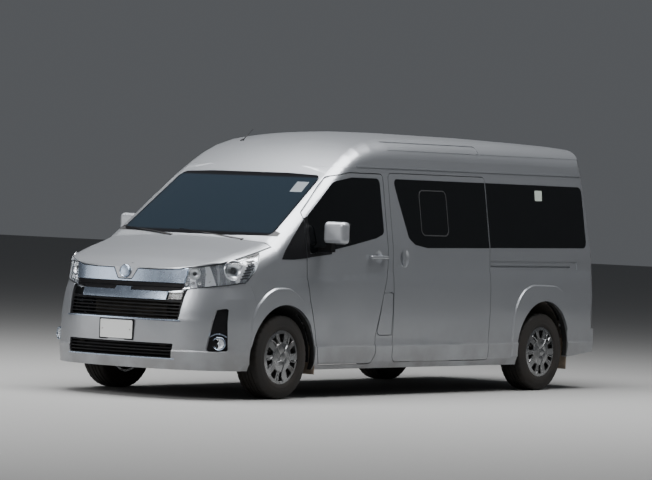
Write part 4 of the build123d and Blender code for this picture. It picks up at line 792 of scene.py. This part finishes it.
for name, x, z, out, body in PLATES:
    holder_size = (HOLDER_DEPTH, PLATE_SIZE[0] + HOLDER_MARGIN[0], PLATE_SIZE[1] + HOLDER_MARGIN[1])
    bm = rounded_slab(holder_size, 0.010, (x + out * HOLDER_DEPTH / 2, 0, z))
    put_in_scene(f"plate_holder_{name}", bm, black_trim, body)
    bm = rounded_slab((PLATE_DEPTH, *PLATE_SIZE), 0.009, (x + out * (HOLDER_DEPTH + PLATE_DEPTH / 2), 0, z))
    fronts = [f for f in bm.faces if f.normal.x * out > 0.99]
    bmesh.ops.inset_region(bm, faces=fronts, thickness=RIM_WIDTH, depth=0.0)
    bmesh.ops.inset_region(bm, faces=fronts, thickness=RIM_SLOPE, depth=-RIM_HEIGHT)
    put_in_scene(f"plate_{name}", bm, plate_white, body)
    bm = bmesh.new()
    for y in (-SCREW_HALF_SPACING, SCREW_HALF_SPACING):
        turned(bm, SCREW_PROFILE, (out, 0, 0), (x + out * (HOLDER_DEPTH + PLATE_DEPTH), y, z), 16)
    put_in_scene(f"plate_screws_{name}", bm, screw_steel, body)

# Wipers: two black arms with rubber blades, parked along the foot of the windscreen, and a
# short one on the tailgate glass. An arm is a flat bar that swells at its pivot.
REAR_PIVOT, REAR_WAY = on_skin("tailgate_glass", (ahead(-4900), 0.02, 1.285))
REAR_TIP, _ = on_skin("tailgate_glass", (ahead(-4900), -0.40, 1.330))
SCREEN_WAY = Vector((0.577, 0, 0.816))
WIPERS = (
    ("left", (ahead(96), 0.560, 1.302), (ahead(22), -0.170, 1.372), SCREEN_WAY, "body"),
    ("right", (ahead(96), -0.200, 1.316), (ahead(12), -0.790, 1.374), SCREEN_WAY, "body"),
    ("rear", REAR_PIVOT, REAR_TIP, REAR_WAY.normalized(), "tailgate"),
)
ARM_SHARES, BLADE_SHARES = (0, 0.08, 0.3, 0.55, 0.62), (0.18, 0.4, 0.6, 0.8, 1.0)
ARM_WIDTHS, ARM_HEIGHTS = (0.030, 0.026, 0.017, 0.012, 0.010), (0.020, 0.018, 0.010, 0.007, 0.006)
BLADE_WIDTHS, BLADE_HEIGHTS = (0.007, 0.010, 0.011, 0.010, 0.006), (0.012, 0.014, 0.015, 0.014, 0.010)
PIVOT_PROFILE = ((-0.006, 0.016), (0.012, 0.015), (0.016, 0.010), (0.017, 0.0))
ARM_RISE, BLADE_RISE = 0.010, 0.002


def bar_places(points, widths, heights, up):
    """Places along a row of points, with widths across and heights upwards."""
    places = []
    for i, point in enumerate(points):
        way = (points[min(len(points) - 1, i + 1)] - points[max(0, i - 1)]).normalized()
        across = way.cross(up).normalized()
        places.append(section(point, across * widths[i], across.cross(way) * heights[i]))
    return places


for name, pivot, tip, up, body in WIPERS:
    pivot, tip = Vector(pivot), Vector(tip)
    bm = bmesh.new()
    arm = [pivot.lerp(tip, t) + up * ARM_RISE * math.sin(math.pi * min(1, t + 0.1)) for t in ARM_SHARES]
    drawn(bm, bar_places(arm, ARM_WIDTHS, ARM_HEIGHTS, up), 8)
    blade = [pivot.lerp(tip, t) + up * BLADE_RISE for t in BLADE_SHARES]
    drawn(bm, bar_places(blade, BLADE_WIDTHS, BLADE_HEIGHTS, up), 8)
    turned(bm, PIVOT_PROFILE, up, pivot, 20)
    put_in_scene(f"wiper_{name}", bm, black_trim, body, 40)

# Aerial: a short whip on a moulded foot, raked back over the front of the roof. Behind the
# lower grille stands its duct, a dull black moulded shroud that shows through the slots.
AERIAL_FOOT, AERIAL_TIP = Vector((ahead(-1170), -0.470, 2.146)), Vector((ahead(-1330), -0.478, 2.252))
AERIAL_PROFILE = ((-0.010, 0.016), (0.010, 0.013), (0.022, 0.006), (0.060, 0.0032), (0.185, 0.0022),
                  (0.188, 0.0))
turned_piece("aerial", AERIAL_PROFILE, AERIAL_TIP - AERIAL_FOOT, AERIAL_FOOT, 14, black_trim, "body", 40)
shroud = rounded_slab((0.006, 1.080, 0.150), 0.012, (ahead(905), 0, 0.392))
put_in_scene("grille_shroud", shroud, insert_black, "body")

# Underbody: floor, frame and running gear in dull black wax with road dirt, cast parts a
# little lighter, and a mottled steel exhaust.
UNDER_BLACK, UNDER_DIRT = (0.020, 0.019, 0.018, 1), (0.14, 0.115, 0.09, 1)
CAST_GREY, CAST_DIRT = (0.07, 0.068, 0.065, 1), (0.13, 0.10, 0.075, 1)
EXHAUST_STEEL, RUST = (0.20, 0.18, 0.16, 1), (0.12, 0.06, 0.035, 1)
underbody_wax, shader = new_finish("underbody_wax", UNDER_BLACK, 0.8)
two_colours(shader, span(grain(shader, 5.0, 9.0), 0.35, 0.7, 0.0, 0.5), UNDER_BLACK, UNDER_DIRT)
bumped(shader, grain(shader, 60.0), 0.25, 0.002)
cast_metal, shader = new_finish("cast_metal", CAST_GREY, 0.6, 0.6)
two_colours(shader, span(grain(shader, 8.0, 9.0), 0.35, 0.7, 0.0, 0.7), CAST_GREY, CAST_DIRT)
bumped(shader, grain(shader, 150.0), 0.2, 0.001)
dull_steel, shader = new_finish("exhaust_steel", EXHAUST_STEEL, 0.5, 0.9)
rust = span(grain(shader, 7.0, 9.0), 0.42, 0.62, 0.0, 0.8)
two_colours(shader, rust, EXHAUST_STEEL, RUST)
rough_by(shader, rust, 0.35, 0.8)
for node in ("floor_pan", "frame_rails", "fuel_tank", "radiator"):
    smooth_cad(node, underbody_wax)
for node in ("engine", "rear_axle", "front_suspension", "knuckle_left", "knuckle_right"):
    smooth_cad(node, cast_metal)
smooth_cad("exhaust", dull_steel)

# Cab: the dashboard and the steering wheel in grained grey-black mouldings. The cowl is
# painted silver ahead of the windscreen, and grey-black above and behind it.
CAB_GREY = (0.020, 0.020, 0.022, 1)
COWL_BAND_Z, COWL_BACK_X = 1.343, ahead(-10)
grained, shader = new_finish("grained_moulding", CAB_GREY, 0.6)
bumped(shader, pattern(shader, "ShaderNodeTexVoronoi", "Distance", Scale=380.0), 0.3, 0.0005)
rough_by(shader, grain(shader, 9.0), 0.5, 0.7)
for node in ("dashboard", "steering_wheel"):
    smooth_cad(node, grained, 35)
cowl_paint, shader = new_finish("cowl_paint", PAINT_SILVER, 0.36, 0.8)
band = span(coordinate(shader, "Z"), COWL_BAND_Z - 0.001, COWL_BAND_Z + 0.001, 0.0, 1.0)
inside = span(coordinate(shader, "X"), COWL_BACK_X - 0.002, COWL_BACK_X, 1.0, 0.0)
black = combined("MAXIMUM", band, inside)
two_colours(shader, black, PAINT_SILVER, CAB_GREY)
input_by(shader, "Metallic", black, 0.8, 0.0)
rough_by(shader, black, 0.34, 0.6)
flaked(shader)
smooth_cad("cowl", cowl_paint)

# Seats: foam cushions in dark woven cloth on steel pedestals. Each seat has a crowned
# cushion, a leaning back and head rests, with seams that pull the cloth in between places.
CLOTH_DARK = (0.032, 0.034, 0.038, 1)
CLOTH_LIGHT = (0.075, 0.078, 0.086, 1)
SEATS = (
    ("seat_driver", -830, -0.680, -0.180, 1), ("seat_passenger", -830, 0.180, 0.680, 1),
    ("bench_row_1", -1900, -0.840, 0.150, 2), ("bench_row_2", -2720, -0.840, 0.150, 2),
    ("bench_row_3", -3540, -0.545, 0.545, 3),
)
CUSHIONS = (("cushion", 0.500, 0.01, 0.135, 0.256, 0.780, -3), ("back", 0.500, 0.02, 0.095, 0.505, 1.095, 80.5))
REST, REST_LEAN = (0.135, 0.250, 0.066), 86
SEAM_DEPTH, SEAM_WIDTH = 0.016, 0.012
PIPING_SHARE, PIPING = 0.78, 0.007
POST_RADIUS, POST_LENGTH, POST_OFFSET = 0.006, 0.07, 0.055
cloth, shader = new_finish("seat_cloth", CLOTH_DARK, 0.9, Sheen_Weight=0.3)
weave = pattern(shader, "ShaderNodeTexWave", "Fac", Scale=240.0, Distortion=1.5)
patch = span(grain(shader, 28.0, 6.0), 0.35, 0.7, 0.0, 1.0)
two_colours(shader, combined("MULTIPLY", patch, weave), CLOTH_DARK, CLOTH_LIGHT)
bumped(shader, weave, 0.3, 0.0008)


def cushion(name, size, place, lean, seams, node, crown=0.016, pull=0.014):
    """A stuffed block of a length, width and thickness, crowned and drawn in at its seams."""
    bm = block(size)
    rounded(bm, bm.edges, size[2] * 0.30, 4)
    long_edges = [e for e in bm.edges if e.calc_length() > 0.05]
    bmesh.ops.subdivide_edges(bm, edges=long_edges, cuts=15, use_grid_fill=True)
    half = [s / 2 for s in size]
    for v in bm.verts:
        u, w, t = (v.co[i] / half[i] for i in range(3))
        v.co.z += math.copysign(crown * (1 - u * u) * (1 - w * w), t) - (crown if t > 0 else -crown) * 0.6
        v.co.x -= math.copysign(pull * (1 - w * w) * abs(u) ** 3, u) * (1 - t * t)
        v.co.y -= math.copysign(pull * (1 - u * u) * abs(w) ** 3, w) * (1 - t * t)
        if t > 0:
            for seam in seams:
                v.co.z -= SEAM_DEPTH * math.exp(-((v.co.y - seam) / SEAM_WIDTH) ** 2)
            v.co.z -= PIPING * math.exp(-((abs(w) - PIPING_SHARE) * half[1] / PIPING) ** 2)
    bmesh.ops.rotate(bm, cent=(0, 0, 0), matrix=Matrix.Rotation(math.radians(lean), 3, "Y"), verts=bm.verts)
    bmesh.ops.translate(bm, vec=place, verts=bm.verts)
    piece = put_in_scene(name, bm, cloth, "body", 0)
    piece.data.polygons.foreach_set("use_smooth", [True] * len(piece.data.polygons))
    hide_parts(node)


for node, front, y0, y1, places in SEATS:
    x, width, middle = ahead(front), y1 - y0, (y0 + y1) / 2
    spacing = width / places
    seams = [-width / 2 + spacing * i for i in range(1, places)]
    for part, length, margin, thickness, back, z, lean in CUSHIONS:
        cushion(f"{node}_{part}", (length, width - margin, thickness), (x - back, middle, z), lean, seams, node)
    for i in range(places):
        y = y0 + spacing * (i + 0.5)
        cushion(f"{node}_head_rest_{i + 1}", REST, (x - 0.574, y, 1.416), REST_LEAN, [], node, 0.006, 0.008)
        bm = bmesh.new()
        for offset in (-POST_OFFSET, POST_OFFSET):
            place = Matrix.Translation((x - 0.566, y + offset, 1.352))
            bmesh.ops.create_cone(bm, cap_ends=True, segments=12, radius1=POST_RADIUS, radius2=POST_RADIUS,
                                  depth=POST_LENGTH, matrix=place)
        put_in_scene(f"{node}_rest_posts_{i + 1}", bm, screw_steel, "body")

# Back of the van: a bright handle over the plate, a high stop lamp, red reflectors in the
# bumper and an open steel tip on the exhaust.
REFLECTOR = ((0.600, 0.488), (0.740, 0.488), (0.740, 0.520), (0.600, 0.520))
TIP_PLACE = (ahead(-4640), -0.320, 0.400)
TIP_PROFILE = ((-0.030, 0.0285), (-0.028, 0.031), (0.078, 0.031), (0.080, 0.0295), (0.078, 0.028),
               (0.034, 0.028), (0.032, 0.0))
handle = rounded_slab((0.016, 0.620, 0.052), 0.016, (ahead(-4842), 0, 0.968), edge=0.005)
put_in_scene("tailgate_handle", handle, chrome, "tailgate")
stop_lamp = rounded_slab((0.010, 0.400, 0.030), 0.012, (ahead(-4776), 0, 1.872), edge=0.003)
put_in_scene("high_stop_lamp", stop_lamp, red_lens, "tailgate")
for side, sign in SIDES:
    field = [(y * sign, z) for y, z in REFLECTOR]
    cover(f"reflector_{side}", "bumper_rear", [field], "front", (-1, 0, 0), red_lens, thickness=0.005,
          lift=0.003)
turned_piece("exhaust_tip", TIP_PROFILE, (-1, 0, 0), TIP_PLACE, 32, dull_steel, "body")

# Studio: a pale floor, a soft sky and large soft lamps, and a long lens at the height of a
# standing person, ahead and to the left of the van.
CAMERA_PLACE = (27.1159, 20.1924, 1.75497)
CAMERA_YAW, CAMERA_PITCH, CAMERA_ROLL = -143.2018, -0.7671, 2.1311
LENS_MM, SENSOR_MM, CLIP_END = 212.18, 36, 300
FLOOR_HALF, FLOOR_PALE = 60, (0.27, 0.27, 0.267, 1)
SKY, SKY_STRENGTH = (0.80, 0.84, 0.90, 1), 0.12
LAMPS = (
    ("overhead", (0.8, 0.5, 9.0), (0, 0, 1), (13, 6), 2750),
    ("front", (12.0, 0.0, 6.5), (2, 0, 1), (6, 4), 720),
    ("fill", (15.0, -13.0, 3.0), (2.5, 0, 1), (9, 5), 280),
    ("flank", (1.0, 13.0, 7.0), (0, 0, 1), (12, 3), 35),
)
bm = bmesh.new()
bmesh.ops.create_grid(bm, x_segments=1, y_segments=1, size=FLOOR_HALF)
mesh = bpy.data.meshes.new("floor")
bm.to_mesh(mesh)
bm.free()
floor = bpy.data.objects.new("floor", mesh)
bpy.context.scene.collection.objects.link(floor)
ground, _ = new_finish("pale_floor", FLOOR_PALE, 0.9)
floor.data.materials.append(ground)
world = bpy.data.worlds.new("sky")
bpy.context.scene.world = world
world.use_nodes = True
background = world.node_tree.nodes["Background"]
background.inputs["Color"].default_value = SKY
background.inputs["Strength"].default_value = SKY_STRENGTH
for name, place, target, size, power in LAMPS:
    data = bpy.data.lights.new(name, "AREA")
    data.shape = "RECTANGLE"
    data.size, data.size_y = size
    data.energy = power
    lamp = bpy.data.objects.new(name, data)
    lamp.location = place
    lamp.rotation_mode = "QUATERNION"
    lamp.rotation_quaternion = (Vector(target) - Vector(place)).to_track_quat("-Z", "Y")
    bpy.context.scene.collection.objects.link(lamp)
yaw, pitch, roll = (math.radians(a) for a in (CAMERA_YAW, CAMERA_PITCH, CAMERA_ROLL))
forward = Vector((math.cos(yaw) * math.cos(pitch), math.sin(yaw) * math.cos(pitch), math.sin(pitch)))
level = forward.cross(Vector((0, 0, 1))).normalized()
upright = level.cross(forward)
sideways = level * math.cos(roll) + upright * math.sin(roll)
up = upright * math.cos(roll) - level * math.sin(roll)
camera_data = bpy.data.cameras.new("camera")
camera_data.sensor_width = SENSOR_MM
camera_data.lens = LENS_MM
camera_data.clip_end = CLIP_END
camera = bpy.data.objects.new("camera", camera_data)
turn = Matrix((sideways, up, -forward)).transposed().to_4x4()
camera.matrix_world = Matrix.Translation(CAMERA_PLACE) @ turn
bpy.context.scene.collection.objects.link(camera)
bpy.context.scene.camera = camera
